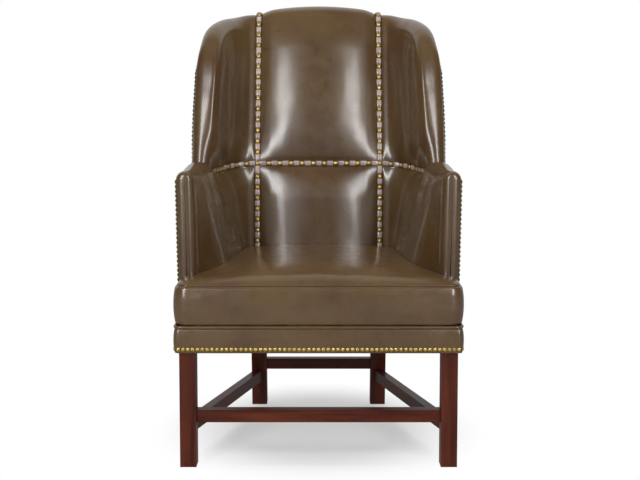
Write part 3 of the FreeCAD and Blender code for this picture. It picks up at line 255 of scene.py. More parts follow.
class Rib:
    """One cross-section of a pad: from its foot up the face, over the roll and down the outside."""

    def __init__(self, foot, normal, tip, foot_thick, tip_thick, arch, wrap=WRAP):
        self.foot, self.normal, self.tip, self.arch = foot, normal, tip, arch
        self.half = tip_thick / 2
        self.axis = unit(tip - foot - normal * (foot_thick / 2))
        self.outer_foot = foot + normal * foot_thick
        self.centre = tip - self.axis * arch
        self.inner_shoulder = self.centre - normal * self.half
        self.outer_shoulder = self.centre + normal * self.half
        self.run = unit(self.outer_foot - self.outer_shoulder)
        self.wrap_end = self.outer_shoulder + self.run * wrap

    def outline(self):
        """The closed outline as points."""
        points = between(self.foot, self.inner_shoulder, FACE)
        for k in range(ROLL + 1):
            turn = math.pi * k / ROLL
            out = -self.normal * (self.half * math.cos(turn)) + self.axis * (self.arch * math.sin(turn))
            points.append(self.centre + out)
        points += between(self.outer_shoulder, self.wrap_end, WRAPPED, 1, WRAPPED + 1)
        start = self.wrap_end - self.normal * HIDE
        end = self.outer_foot - self.normal * HIDE
        points += between(start, end, INSIDE, 0, INSIDE + 1)
        return np.array(points + between(end, self.foot, BASE, 1))

    def outside(self, drop):
        """Points of the outside leather, from under the wrapped edge down to its hem."""
        hem = self.outer_foot + self.run * (drop / -self.run[2])
        start = self.wrap_end - self.normal * SHEET_SUNK - self.run * UNDERLAP
        end = hem - self.normal * SHEET_SUNK
        return np.array(between(start, end, SHEET_STEPS, 0, SHEET_STEPS + 1))


def back_rib(x):
    foot = at(x, BACK_SETBACK, split_level(90))
    tip = at(x, BACK_SETBACK + BACK_LEAN + ROLL_THICK / 2, top_level(x))
    return Rib(foot, REAR, tip, BACK_THICK, ROLL_THICK, ROLL_THICK / 2)


def wing_rib(angle, tip):
    point, normal = plan(angle)
    foot = point + UP * split_level(angle)
    thick = mix(WING_THICK, ROLL_THICK, angle)
    return Rib(foot, normal, tip, mix(WING_THICK, BACK_THICK, angle), thick, thick / 2)


def lower_rib(point, normal, thick, level, tuck_in, tuck_out, arch=FLAT_ARCH, wrap=FLAT_WRAP):
    """Section of the lower tub from the rails up to a level, set in at its foot by the tucks."""
    base = raised(point, RAIL_TOP) - normal * tuck_in
    tip = raised(point, level) + normal * (thick / 2)
    return Rib(base, normal, tip, thick + tuck_in - tuck_out, thick, arch, wrap)


def tucks(angle, depth):
    """How far the lower tub's foot is set in, on its inside and on its outside."""
    near = ease((depth - ARM_START) / TUCK_RUN)
    far = ease((depth - ARM_START) / (SIDE_END - ARM_START))
    inner = TUCK_FRONT + (TUCK_SIDE - TUCK_FRONT) * near
    outer = TUCK_FRONT + (OUTER_TUCK_SIDE - TUCK_FRONT) * far
    return mix(inner, TUCK_BACK, angle), mix(outer, OUTER_TUCK_BACK, angle)


def lower_back_rib(x):
    point = at(x, BACK_SETBACK, 0)
    return lower_rib(point, REAR, BACK_THICK, split_level(90), TUCK_BACK, OUTER_TUCK_BACK)


def under_wing_rib(angle):
    point, normal = plan(angle)
    thick = mix(WING_THICK, BACK_THICK, angle)
    return lower_rib(point, normal, thick, split_level(angle), *tucks(angle, point[1] - FRONT_Y))


def arm_rib(depth):
    """Section of the arm, which has a rolled top of its own."""
    angle = angle_at(depth)
    point, normal = plan(angle)
    share = ease((depth - ARM_START) / (WING_FOOT - ARM_START))
    thick = ARM_THICK + (WING_THICK - ARM_THICK) * share
    return lower_rib(point, normal, thick, ARM_LEVEL, *tucks(angle, depth), thick / 2, WRAP)


NOSE_POWER = 2.7
NOSE_LEAST = 0.02
NOSE_DROP = 0.75
FULL_WRAP = 0.30


def nose_rib(share):
    """Section of the arm's rounded front, which is squarer than a half circle."""
    full = arm_rib(ARM_START)
    squeeze = max(NOSE_LEAST, (1 - share**NOSE_POWER) ** (1 / NOSE_POWER))
    half = ARM_THICK / 2
    forward = REAR * (-half * share)
    foot_thick = np.linalg.norm(full.outer_foot - full.foot)
    foot = full.foot + full.normal * (foot_thick / 2 * (1 - squeeze)) + forward
    tip = full.tip + forward - UP * ((1 - squeeze) * half * NOSE_DROP)
    arch = half * max(0.5, squeeze)
    return Rib(foot, full.normal, tip, foot_thick * squeeze, ARM_THICK * squeeze, arch, FULL_WRAP)


def swept(ribs, per_metre):
    """Grid of points through the ribs' outlines, smooth from rib to rib, with an even spacing."""
    return refined(np.array([rib.outline() for rib in ribs]), per_metre)


def refined(rows, per_metre):
    """Rows of points with more rows between them, on smooth curves through the given ones."""
    steps = np.linalg.norm(np.diff(rows, axis=0), axis=2)
    gaps = np.maximum(steps.mean(axis=1), 1e-5)
    knots = np.concatenate([[0], np.cumsum(gaps)])
    slopes = np.zeros_like(rows)
    for k in range(len(rows)):
        before, after = max(0, k - 1), min(len(rows) - 1, k + 1)
        slopes[k] = (rows[after] - rows[before]) / (knots[after] - knots[before])
    out = []
    for k in range(len(rows) - 1):
        width = knots[k + 1] - knots[k]
        count = max(1, round(steps[k].max() * per_metre))
        for step in range(count):
            t = step / count
            h00 = 2 * t**3 - 3 * t**2 + 1
            h10 = t**3 - 2 * t**2 + t
            h01 = -2 * t**3 + 3 * t**2
            h11 = t**3 - t**2
            near = rows[k] * h00 + slopes[k] * (h10 * width)
            out.append(near + rows[k + 1] * h01 + slopes[k + 1] * (h11 * width))
    out.append(rows[-1])
    return np.array(out)


def grid_normals(grid):
    """Unit normals of a grid of points that is closed across its second axis."""
    across = np.roll(grid, -1, axis=1) - np.roll(grid, 1, axis=1)
    normal = np.cross(np.gradient(grid, axis=0), across)
    return normal / np.maximum(np.linalg.norm(normal, axis=2, keepdims=True), 1e-9)


def span(grid, axis):
    """Distance walked along one axis of a grid."""
    steps = np.linalg.norm(np.diff(grid, axis=axis), axis=2)
    zero = np.zeros_like(np.take(steps, [0], axis=axis))
    return np.concatenate([zero, np.cumsum(steps, axis=axis)], axis=axis)


def plump(distance, reach):
    """0 at a strap's edge, rising steeply and rounding off to 1 at the reach."""
    share = np.clip(distance / reach, 0, 1)
    return np.sqrt(np.maximum(0, 1 - (1 - share) ** 2)) * 0.72 + ease(share) * 0.28


def fade(value, start, end):
    """0 before the start and 1 after the end."""
    return ease((value - start) / (end - start))


def ripple(grid, seed, stretch=(9, 9, 4)):
    """Soft unevenness of stuffed leather, from -1 to 1, drawn out upright."""
    flat = grid.reshape(-1, 3)
    out = np.empty(len(flat))
    for k, p in enumerate(flat):
        spot = Vector((p[0] * stretch[0] + seed, p[1] * stretch[1], p[2] * stretch[2]))
        out[k] = noise.noise(spot) + 0.4 * noise.noise(spot * 2.7)
    return out.reshape(grid.shape[:2])


def crease(along, across, start, end, width, depth):
    """A fold in the leather from one spot of a panel to another, fading at both ends."""
    run = np.subtract(end, start)
    length = np.linalg.norm(run)
    run = run / length
    dx, dy = along - start[0], across - start[1]
    down = dx * run[0] + dy * run[1]
    side = -dx * run[1] + dy * run[0]
    share = np.clip(down / length, 0, 1)
    fold = -depth * np.exp(-((side / width) ** 2)) * np.sin(np.pi * share) ** 0.7
    return fold * ((down > 0) & (down < length))


def mesh_object(name, vertices, faces):
    mesh = bpy.data.meshes.new(name)
    mesh.from_pydata([tuple(v) for v in vertices], [], faces)
    mesh.validate()
    mesh.polygons.foreach_set("use_smooth", [True] * len(mesh.polygons))
    mesh.update()
    obj = bpy.data.objects.new(name, mesh)
    bpy.context.scene.collection.objects.link(obj)
    return obj


def skin(name, grid):
    """A closed mesh over a grid of points, whose last column joins its first."""
    rows, columns = grid.shape[:2]
    vertices = grid.reshape(-1, 3).tolist()
    faces = []
    for i in range(rows - 1):
        for j in range(columns):
            k = (j + 1) % columns
            faces.append((i * columns + j, (i + 1) * columns + j, (i + 1) * columns + k, i * columns + k))
    for row, flip in ((0, False), (rows - 1, True)):
        middle = len(vertices)
        vertices.append(grid[row].mean(axis=0).tolist())
        for j in range(columns):
            first, second = row * columns + j, row * columns + (j + 1) % columns
            faces.append((middle, second, first) if flip else (middle, first, second))
    return mesh_object(name, vertices, faces)


def face_out(obj):
    """Points a closed mesh's faces outwards."""
    bm = bmesh.new()
    bm.from_mesh(obj.data)
    bmesh.ops.recalc_face_normals(bm, faces=bm.faces)
    bm.to_mesh(obj.data)
    bm.free()
    return obj


def swollen(grid, height):
    """The grid moved out along its normals."""
    normal = grid_normals(grid)
    centre = grid.mean(axis=1, keepdims=True)
    if np.mean(np.sum(normal * (grid - centre), axis=2)) < 0:
        normal = -normal
    return grid + normal * height[:, :, None]


# How the pads swell between their straps

CROWN_POWER = 2.4
UPPER_CROWN = 0.029
LOWER_CROWN = 0.030
SIDE_SWELL = 0.017
WING_REACH = 0.07
EDGE_REACH = 0.04
NOTCH = 0.004
ROLL_FILL = 0.0088
SWEEP = 0.011
UPPER_RIPPLE = 0.0011
RIPPLE = 0.0012
ARM_RIPPLE = 0.0016
WING_CREASE = ((0.13, 0.03), (0.15, 0.34), 0.016, 0.0008)
BACK_COLUMNS = np.linspace(-STRAP_X, STRAP_X, 9)


def roll_share(grid):
    """1 on a pad's face, falling to 0 by the top of its roll."""
    return 1 - fade(np.arange(grid.shape[1])[None, :], FACE - 14, FACE + ROLL * 0.5)


def tail(grid):
    """1 as far as the end of the wrapped leather, 0 on a pad's hidden side."""
    return (np.arange(grid.shape[1]) <= WRAP_END).astype(float)[None, :]


def back_swell(along):
    """Distance in from a back pad's upright straps, and the share of its swell there."""
    total = along[-1:, :]
    side = np.maximum(np.minimum(along, total - along) - STRAP_HALF, 0)
    off_middle = np.abs(2 * along / total - 1)
    crown = np.clip(1 - (off_middle / (1 - 2 * STRAP_HALF / total)) ** CROWN_POWER, 0, 1)
    return side, 0.82 * crown + 0.18 * plump(side, 0.03)


def upper_back_grid():
    grid = swept([back_rib(x) for x in BACK_COLUMNS], per_metre=420)
    across = np.maximum(span(grid, 1) - STRAP_HALF, 0)
    side, body = back_swell(span(grid, 0))
    share = roll_share(grid)
    height = UPPER_CROWN * (body * plump(across, 0.11)) * share
    height += (ROLL_FILL * plump(side, EDGE_REACH) - NOTCH) * (1 - share) * tail(grid)
    height += UPPER_RIPPLE * ripple(grid, 3.1) * share * plump(side, EDGE_REACH) * plump(across, EDGE_REACH)
    return swollen(grid, height)


def lower_back_grid():
    grid = swept([lower_back_rib(x) for x in BACK_COLUMNS], per_metre=420)
    across = span(grid, 1)
    side, body = back_swell(span(grid, 0))
    below = np.maximum(across[:, FACE : FACE + 1] - STRAP_HALF - across, 0)
    on_face = (np.arange(grid.shape[1]) <= FACE).astype(float)[None, :]
    height = LOWER_CROWN * body * plump(below, 0.09) * on_face
    height += RIPPLE * ripple(grid, 21.9) * plump(side, EDGE_REACH) * on_face * plump(below, 0.05)
    return swollen(grid, height)


def wing_ribs():
    """Sections from the upright strap round the tub's corner, fanned out to the front of the wing."""
    ribs = [back_rib(STRAP_X), back_rib(STRAP_X + STRAP_HALF)]
    ribs += [wing_rib(angle, corner_tip(angle)) for angle in (78, 62, CORNER_ANGLE)]
    fan_end = WING_FOOT + WING_THICK * 1.35

    def fan_angle(share):
        return angle_at(SIDE_END + (fan_end - SIDE_END) * share)

    for angle, share in ((30, 0.8), (16, 0.6), (fan_angle(0.25), 0.38), (fan_angle(0.45), 0.15)):
        ribs.append(wing_rib(angle, round_tip(share)))
    for place, share in ((0.6, 0.78), (0.75, 0.5), (0.9, 0.2), (1, 0.04)):
        ribs.append(wing_rib(fan_angle(place), front_tip(share)))
    return ribs


def wing_grid():
    grid = swept(wing_ribs(), per_metre=260)
    along, across = np.maximum(span(grid, 0) - STRAP_HALF, 0), np.maximum(span(grid, 1) - STRAP_HALF, 0)
    share, low = roll_share(grid), plump(across, WING_REACH)
    front = 1 - fade(along / along[-1:, :], 0.8, 1.0)
    height = SIDE_SWELL * plump(along, WING_REACH) * low * share * front
    high = fade(grid[:, :, 2], 1.02, 1.09)
    height += (ROLL_FILL * plump(along, EDGE_REACH) - NOTCH) * (1 - share) * tail(grid) * high
    height += RIPPLE * ripple(grid, 7.7) * share * plump(along, EDGE_REACH) * low
    height += crease(along, across, *WING_CREASE) * share
    return swollen(grid, height)


def arm_ribs():
    """Sections from the upright strap, under the wing and along the arm, round its nose."""
    ribs = [lower_back_rib(STRAP_X), lower_back_rib(STRAP_X + STRAP_HALF)]
    ribs += [under_wing_rib(angle) for angle in (76, 58, 40, 24, math.degrees(SPLAY))]
    ribs += [under_wing_rib(angle_at(WING_FOOT + WING_THICK * share)) for share in (2, 1.3)]
    ribs += [arm_rib(WING_FOOT + (ARM_START - WING_FOOT) * share) for share in (0.02, 0.25, 0.5, 0.75, 0.93)]
    ribs += [nose_rib(share) for share in (0.0, 0.2, 0.4, 0.58, 0.74, 0.86, 0.94, 0.985, 1.0)]
    return ribs


def arm_grid():
    """The arm's pad, flat at its nose, with its top swept up to meet the wing."""
    grid = swept(arm_ribs(), per_metre=330)
    along, across = np.maximum(span(grid, 0) - STRAP_HALF, 0), span(grid, 1)
    depth = grid[:, :, 1] - FRONT_Y
    share, off_nose = roll_share(grid), fade(depth, 0.06, 0.1)
    below = np.maximum(across[:, FACE : FACE + 1] - across - STRAP_HALF, 0)
    strapped = fade(depth, 0.29, 0.36)
    drop = plump(below, 0.06) * strapped + (1 - strapped)
    calm = 0.25 + 0.75 * fade(depth, 0.075, 0.16)
    height = SIDE_SWELL * plump(along, 0.055) * drop * share * calm * off_nose
    height += ARM_RIPPLE * ripple(grid, 12.3, (14, 14, 5)) * share * plump(along, EDGE_REACH) * off_nose
    index = np.arange(grid.shape[1])[None, :]
    top = fade(index, FACE - 4, FACE + ROLL * 0.4) * (1 - fade(index, ROLL_END, WRAP_END))
    height += SWEEP * top * fade(depth, 0.13, 0.30) * (1 - fade(depth, 0.31, 0.34))
    return swollen(grid, height * fade(along, 0, 0.002) * tail(grid))


# Seat, band and welt

SEAT_PROUD = 0.013
SEAT_CORNER = 0.034
SEAT_BULGE = 0.005
SEAT_CROWN = 0.036
SEAT_RUN = 0.190
SEAT_EDGE = 0.036
SEAT_LIP = 0.0035
SEAT_MIDDLE = (0.0, 0.20)
SEAT_CONTACT = 0.46
SEAT_IN_WALL = 0.008
SEAT_RIPPLE = 0.0016
BOXING_RIPPLE = 0.0013
EAR_CORNER = 0.010
GROOVE = 0.0026
SEAM_STEP = 0.0022
SEAM_RING = 32
BAND_PAD = 0.011
BAND_CORNER = 0.012


def arc(centre_x, centre_depth, radius, start, end, count):
    """Points of an arc in plan, by angles in degrees from the right towards the rear."""
    turns = np.radians(np.linspace(start, end, count))
    return [(centre_x + radius * math.cos(t), centre_depth + radius * math.sin(t)) for t in turns]


def contact(angle):
    """Plan point just inside the lower tub's wall, at the height where the seat meets it."""
    point, normal = plan(angle)
    tuck_in = tucks(angle, point[1] - FRONT_Y)[0]
    share = (SEAT_CONTACT - RAIL_TOP) / (split_level(angle) - RAIL_TOP)
    spot = point - normal * (tuck_in * (1 - share)) + normal * SEAT_IN_WALL
    return spot[0], spot[1] - FRONT_Y


def seat_outline():
    """Plan of the seat's right half from the middle of its front to the middle of its back."""
    half, front, ear = CHAIR_HALF, -SEAT_PROUD, ARM_SETBACK - EAR_CORNER
    points = [(x, front) for x in np.linspace(0, half - SEAT_CORNER, 60, endpoint=False)]
    points += arc(half - SEAT_CORNER, front + SEAT_CORNER, SEAT_CORNER, -90, 0, 16)
    points += [(half, depth) for depth in np.linspace(front + SEAT_CORNER, ear, 8)[1:-1]]
    points += arc(half - EAR_CORNER, ear, EAR_CORNER, 0, 90, 8)
    angles = [angle_at(depth) for depth in np.linspace(ARM_START + 0.004, SIDE_END, 34)]
    angles += list(np.linspace(math.degrees(SPLAY) + 4, 90, 20))
    points += [(min(x, half - 0.03), depth) for x, depth in map(contact, angles)]
    last = points[-1][1]
    points += [(x, last) for x in np.linspace(points[-1][0], 0, 24)[1:]]
    return points


def seat_rise(x, depth):
    """Height of the seat's crown over its front seam."""
    share = np.clip((depth + SEAT_PROUD) / SEAT_RUN, 0, 1)
    rise = SEAT_CROWN * np.sqrt(np.maximum(0, 1 - (1 - share) ** 2))
    return rise * (1 - 0.55 * (x / CHAIR_HALF) ** 2)


def relaxed(points, times):
    """A closed ring of points with its corners drawn smooth."""
    for _ in range(times):
        points = np.roll(points, 1, axis=0) * 0.25 + points * 0.5 + np.roll(points, -1, axis=0) * 0.25
    return points


def seat_grid():
    """The seat as rings: up the bulging boxing, into the seam, and over the crowned top to the middle."""
    right = seat_outline()
    left = [(-x, depth) for x, depth in reversed(right[1:-1])]
    outline = np.array(right + left)
    ahead = np.roll(outline, -1, axis=0) - np.roll(outline, 1, axis=0)
    out = units(np.stack([ahead[:, 1], -ahead[:, 0]], axis=1))
    rings = []

    def ring(spots, levels):
        rings.append(np.column_stack([spots[:, 0], spots[:, 1] + FRONT_Y, levels + np.zeros(len(spots))]))

    low = WELT_LEVEL + 0.003
    ring(outline - out * 0.05, low)
    ring(outline - out * (SEAT_BULGE + 0.004), low)
    for share in np.linspace(0.0, 1.0, 30):
        high_lip, low_lip = np.clip((share - 0.94) / 0.06, 0, 1), np.clip((0.05 - share) / 0.05, 0, 1)
        lip = SEAT_LIP * high_lip**2 + 0.003 * low_lip**2
        inset = SEAT_BULGE * abs(2 * share - 1) ** 2.2 + lip
        ring(outline - out * inset, low + (BOXING_TOP - low) * share)
    base = SEAT_BULGE + SEAT_LIP
    ring(outline - out * (base + GROOVE), BOXING_TOP - 0.0012)
    for inset in (0.0002, 0.0012, 0.003, 0.006, 0.010, 0.015, 0.021, 0.028, SEAT_EDGE):
        spots = relaxed(outline - out * (base + inset), int(inset * 1400))
        edge = math.sqrt(1 - (1 - min(1, inset / SEAT_EDGE)) ** 2)
        rise = seat_rise(spots[:, 0], spots[:, 1]) * edge + SEAM_STEP * min(1, inset / 0.004)
        ring(spots, BOXING_TOP + rise)
    last = relaxed(outline - out * (base + SEAT_EDGE), 60)
    for share in np.linspace(1, 0.02, 46)[1:]:
        spots = SEAT_MIDDLE + (relaxed(last, int((1 - share) * 500)) - SEAT_MIDDLE) * share
        ring(spots, BOXING_TOP + (seat_rise(spots[:, 0], spots[:, 1]) + SEAM_STEP))
    return np.array(rings)


def seat_pad():
    """The seat's rings with the soft unevenness of its leather."""
    grid = seat_grid()
    depth, level = grid[:, :, 1], grid[:, :, 2]
    uneven = ripple(grid, 31.4, (11, 9, 30))
    front = fade(FRONT_Y + 0.01 - depth, -0.02, 0.012)
    level += SEAT_RIPPLE * uneven * (level > BOXING_TOP + 0.004) * (1 - front)
    low, high = fade(level, WELT_LEVEL, WELT_LEVEL + 0.02), fade(BOXING_TOP - level, 0.0, 0.015)
    depth -= BOXING_RIPPLE * uneven * front * low * high
    return grid


def front_path(half, front, radius, rear, level):
    """Points and outward normals along a rounded front edge, from the right side to the left."""
    spots = [(half, depth, 1, 0) for depth in np.linspace(rear, front + radius, 8)]
    for t in np.radians(np.linspace(0, -90, 12)[1:]):
        c, s = math.cos(t), math.sin(t)
        spots.append((half - radius + radius * c, front + radius + radius * s, c, s))
    spots += [(x, front, 0, -1) for x in np.linspace(half - radius, 0, 60)[1:]]
    spots += [(-x, depth, -nx, ny) for x, depth, nx, ny in reversed(spots[:-1])]
    points = np.array([at(x, depth, level) for x, depth, _, _ in spots])
    normals = np.array([(nx, ny, 0.0) for _, _, nx, ny in spots])
    return points, normals


def moulding(points, normals, profile):
    """A closed profile of (out, up) carried along a level path."""
    return np.array([
        [point + normal * out + UP * up for out, up in profile] for point, normal in zip(points, normals)
    ])


BAND_END = ARM_START - 0.0005
BAND_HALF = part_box("panel_lower_band")[1].x
BAND_FRONT = -BAND_PAD + 0.001
BAND_STEPS = 14
BAND_RIPPLE = 0.0006
WELT_RADIUS = 0.0033
WELT_SUNK = 0.0015
WELT_PROUD = 0.0005
WELT_CORNER = 0.018


def band_grid():
    """The band under the seat, bowed a little between its bottom edge and the welt."""
    height = WELT_LEVEL - 0.0032 - BAND_BOTTOM
    profile = []
    for share in np.linspace(0, 1, BAND_STEPS):
        bow = 0.0022 * math.sin(math.pi * share) + 0.0012 * (1 - abs(2 * share - 1) ** 6) - 0.0012
        profile.append((bow, height * share))
    profile += [(-0.008, height), (-0.009, 0.0)]
    points, normals = front_path(BAND_HALF, BAND_FRONT, BAND_CORNER, BAND_END, BAND_BOTTOM)
    grid = moulding(points, normals, profile)
    uneven = ripple(grid[:, :BAND_STEPS], 4.4, (22, 9, 20))
    grid[:, :BAND_STEPS, 1] -= BAND_RIPPLE * uneven * np.abs(normals[:, 1])[:, None]
    return grid


def welt_grid():
    turns = np.linspace(0, 2 * math.pi, 13)[:-1]
    profile = [(WELT_RADIUS * math.cos(t) - WELT_SUNK, WELT_RADIUS * math.sin(t)) for t in turns]
    half, front = BAND_HALF + WELT_PROUD, -BAND_PAD - WELT_PROUD
    return moulding(*front_path(half, front, WELT_CORNER, ARM_SETBACK, WELT_LEVEL), profile)


# Outside leathers

SHEET = 0.003
HEM_DROP = RAIL_TOP - BAND_BOTTOM


def sheet_grid(rows, normals, per_metre):
    """A leather sheet from its outer points, closed round its thickness."""
    rows = np.array(rows)
    inner = rows - np.array(normals)[:, None, :] * SHEET
    return refined(np.concatenate([rows, inner[:, ::-1]], axis=1), per_metre)


def outside_grid(ribs, drop, bulge):
    """The outside leather of a wing or an arm, a little full in its middle."""
    rows = np.array([rib.outside(drop) for rib in ribs])
    normals = np.array([rib.normal for rib in ribs])
    across = np.linspace(0, 1, rows.shape[1])
    along = np.linspace(0, 1, rows.shape[0])
    out = bulge * np.outer(np.sin(math.pi * along) ** 0.6, np.sin(math.pi * across) ** 0.8)
    return sheet_grid(rows + normals[:, None, :] * out[:, :, None], normals, per_metre=200)


def outside_back_grid():
    """The outside leather of the back, drawn smooth over the bend at the height of the strap."""
    rows = []
    for x in np.linspace(-STRAP_X - STRAP_HALF, STRAP_X + STRAP_HALF, 9):
        high, low = back_rib(x), lower_back_rib(x)
        hem = low.outer_foot + low.run * (HEM_DROP / -low.run[2])
        corners = [high.wrap_end - high.run * UNDERLAP, high.outer_foot, low.outer_foot, hem]
        points = []
        for start, end, count in zip(corners, corners[1:], (30, 24, 6)):
            points += between(start, end, count)
        points = np.array(points + [hem])
        for _ in range(10):
            points[1:-1] = points[:-2] * 0.25 + points[1:-1] * 0.5 + points[2:] * 0.25
        rows.append(points - REAR * 0.001)
    return sheet_grid(rows, [REAR] * len(rows), per_metre=160)


# Straps and nails

STRAP_THICK = 0.0042
STRAP_SUNK = 0.0006
STRAP_STAND = STRAP_THICK - STRAP_SUNK
STRAP_ROOT = 0.003
STRAP_PUFF = 0.0018
STRAP_COLUMNS = 13
SHADE_REACH = 0.0085
PATH_STEP = 0.0025
NAIL_PITCH = 0.031
LOWER_PITCH_SHARE = 0.965
NAIL_RADIUS = 0.0062
NAIL_HEIGHT = 0.0032
NAIL_SIDES = 18
NAIL_RINGS = [(1.0, -0.1), (1.02, 0.1), (0.86, 0.34), (0.72, 0.62), (0.5, 0.84), (0.25, 0.97)]
TRIM_RADIUS = 0.0054
TRIM_PITCH = 0.0113
TRIM_INSET = TRIM_RADIUS + 0.001


def walked(points):
    """Distance walked along a path at each of its points."""
    return span(points[:, None], 0)[:, 0]


def picked(values, run, places):
    """A path's points or directions at places measured along it."""
    return np.column_stack([np.interp(places, run, values[:, k]) for k in range(3)])


def evenly(length, pitch):
    """Places along a length, from end to end, with an even spacing near the pitch."""
    return np.linspace(0, length, max(2, round(length / pitch) + 1))


def facing(points):
    """Directions square to a path in the chair's fore-and-aft plane, towards its front."""
    ahead = np.gradient(points, axis=0)
    return units(np.column_stack([np.zeros(len(points)), -ahead[:, 2], ahead[:, 1]]))


def ribbon(name, points, outs, nails, sign=1):
    """A strap along a path: a rounded band that puffs up between its nails, in leather made lighter as a
    painted highlight, and darkening towards the nails and along its edges as painted shade.
    """
    side = units(np.cross(units(np.gradient(points, axis=0)), outs))
    near = np.min(np.linalg.norm(points[:, None] - nails[None], axis=2), axis=1)
    puff = STRAP_PUFF * np.sin(np.clip(near / (NAIL_PITCH / 2), 0, 1) * math.pi / 2) ** 1.5
    grid = []
    for k, point in enumerate(points):
        row = []
        for share in np.linspace(-1, 1, STRAP_COLUMNS):
            lift = 1 - abs(share) ** 3.2
            up = STRAP_STAND * (0.35 + 0.65 * lift) + puff[k] * lift
            row.append(point + side[k] * (STRAP_HALF * share) + outs[k] * up)
        row += [point + side[k] * (STRAP_HALF * share) - outs[k] * STRAP_ROOT for share in (1, -1)]
        grid.append(row)
    strap = skin(name, np.array(grid) * [sign, 1, 1])
    dressed(strap, STRAP_PAINTED_HIGHLIGHT, STRAP_PAINTED_SHADE, SHADOW_LINE)
    # Painted shade and highlight: faces along the edges get a dark line and faces near the nails darker
    # leather, both painted shade; the rest gets the strap's painted highlight.
    for k, face in enumerate(strap.data.polygons):
        row, column = divmod(k, len(grid[0]))
        if column == 0 or column >= STRAP_COLUMNS - 2:
            face.material_index = 2
        elif row < len(near) and near[row] < SHADE_REACH:
            face.material_index = 1
    return strap


def strap_parts():
    """The right upright strap's two lengths, and the places and directions of its nails."""
    high = back_rib(STRAP_X).outline()[: ROLL_END + 4]
    low = lower_back_rib(STRAP_X).outline()[:FACE]
    cross_nail = at(STRAP_X, BACK_SETBACK, split_level(90))[None]
    paths, nails = [], []
    for line in (high, low):
        line_run = walked(line)
        points = picked(line, line_run, evenly(line_run[-1], PATH_STEP))
        outs, run = facing(points), walked(points)
        if line is high:
            places = np.arange(1, 15) * NAIL_PITCH
        else:
            places = run[-1] - np.arange(1, 8) * NAIL_PITCH * LOWER_PITCH_SHARE
        spots = picked(points, run, places)
        paths.append((points, outs, np.concatenate([cross_nail, spots])))
        nails += zip(spots, picked(outs, run, places))
    return paths, nails


def cross_parts():
    """The horizontal strap, and the nails of its right half and its middle."""
    stations = [(at(x, BACK_SETBACK, 0), REAR, 90) for x in np.arange(0, BACK_FLAT, PATH_STEP)]
    angles = list(np.arange(90, math.degrees(SPLAY), -1.7))
    angles += [angle_at(depth) for depth in np.arange(SIDE_END, WING_FOOT + WING_THICK * 0.35, -PATH_STEP)]
    stations += [(*plan(angle), angle) for angle in angles]
    points = np.array([raised(point, split_level(angle)) for point, _, angle in stations])
    outs = np.array([-normal for _, normal, _ in stations])
    run = walked(points)
    gaps = round(2 * STRAP_X / NAIL_PITCH)
    first = STRAP_X * 2 / gaps
    middle = [STRAP_X - first * k for k in range(gaps + 1)]
    outer = list(np.arange(STRAP_X + NAIL_PITCH, run[-1] - NAIL_RADIUS, NAIL_PITCH))
    places = [x for x in middle if x >= -1e-6] + outer
    spots, facings = picked(points, run, places), picked(outs, run, places)
    points = np.concatenate([points[:0:-1] * MIRROR, points])
    outs = np.concatenate([outs[:0:-1] * MIRROR, outs])
    strap = ribbon("cross_strap", points, outs, np.concatenate([spots, spots * MIRROR]))
    return strap, list(zip(spots, facings))


def nailheads(name, places, radius):
    """Domed nailheads with a rolled rim, at spots facing out, as one mesh."""
    sides = NAIL_SIDES
    vertices, faces = [], []
    for spot, out in places:
        out = Vector(out).normalized()
        turn = out.to_track_quat("Z", "Y").to_matrix()
        start = len(vertices)
        for share, level in NAIL_RINGS:
            for k in range(sides):
                t = 2 * math.pi * k / sides
                across, up = radius * share * math.cos(t), radius * share * math.sin(t)
                vertices.append(Vector(spot) + turn @ Vector((across, up, NAIL_HEIGHT * level)))
        vertices.append(Vector(spot) + out * NAIL_HEIGHT)
        for r in range(len(NAIL_RINGS) - 1):
            for k in range(sides):
                a, b = start + r * sides + k, start + r * sides + (k + 1) % sides
                faces.append((a, b, b + sides, a + sides))
        crown = len(vertices) - 1
        low = crown - sides
        faces.extend((low + k, low + (k + 1) % sides, crown) for k in range(sides))
        faces.append(tuple(start + k for k in reversed(range(sides))))
    heads = mesh_object(name, vertices, faces)
    dressed(heads, BRASS, NAIL_RIM_SHADE)
    each = len(faces) // len(places)
    # Painted shade: each nailhead's rim rings and base get a dark material.
    for k, face in enumerate(heads.data.polygons):
        if k % each < 2 * sides or k % each == each - 1:
            face.material_index = 1
    return heads


def trim_row(spots, outs):
    """Evenly spaced trim nails along a row of spots, with the direction at each."""
    spots, outs = np.array(spots), np.array(outs)
    run = walked(spots)
    where = evenly(run[-1], TRIM_PITCH)
    return list(zip(picked(spots, run, where), picked(outs, run, where)))


def edge_row(ribs, stand=0.0):
    """Trim nails beside the end of the leather that is wrapped over a row of ribs."""
    spots = [rib.wrap_end - rib.run * TRIM_INSET + rib.normal * stand for rib in ribs]
    return trim_row(spots, [rib.normal for rib in ribs])


# Materials


class Value:
    """A shader socket that Python's own operators turn into Math nodes."""

    def __init__(self, nodes, socket):
        self.nodes = nodes
        self.socket = socket

    def maths(self, operation, other, clamp=False):
        node = self.nodes.new("ShaderNodeMath")
        node.operation = operation
        node.use_clamp = clamp
        plug(node.inputs[0], self)
        plug(node.inputs[1], other)
        return Value(self.nodes, node.outputs[0])

    def __add__(self, other):
        return self.maths("ADD", other)

    def __sub__(self, other):
        return self.maths("SUBTRACT", other)

    def __rsub__(self, other):
        return (self * -1).maths("ADD", other)

    def __mul__(self, other):
        return self.maths("MULTIPLY", other)

    def limited(self):
        return self.maths("ADD", 0.0, clamp=True)


def plug(slot, value):
    """Sets an input to a number, a colour or another node's output."""
    if isinstance(value, Value):
        value = value.socket
    if isinstance(value, bpy.types.NodeSocket):
        slot.id_data.links.new(value, slot)
    else:
        slot.default_value = value


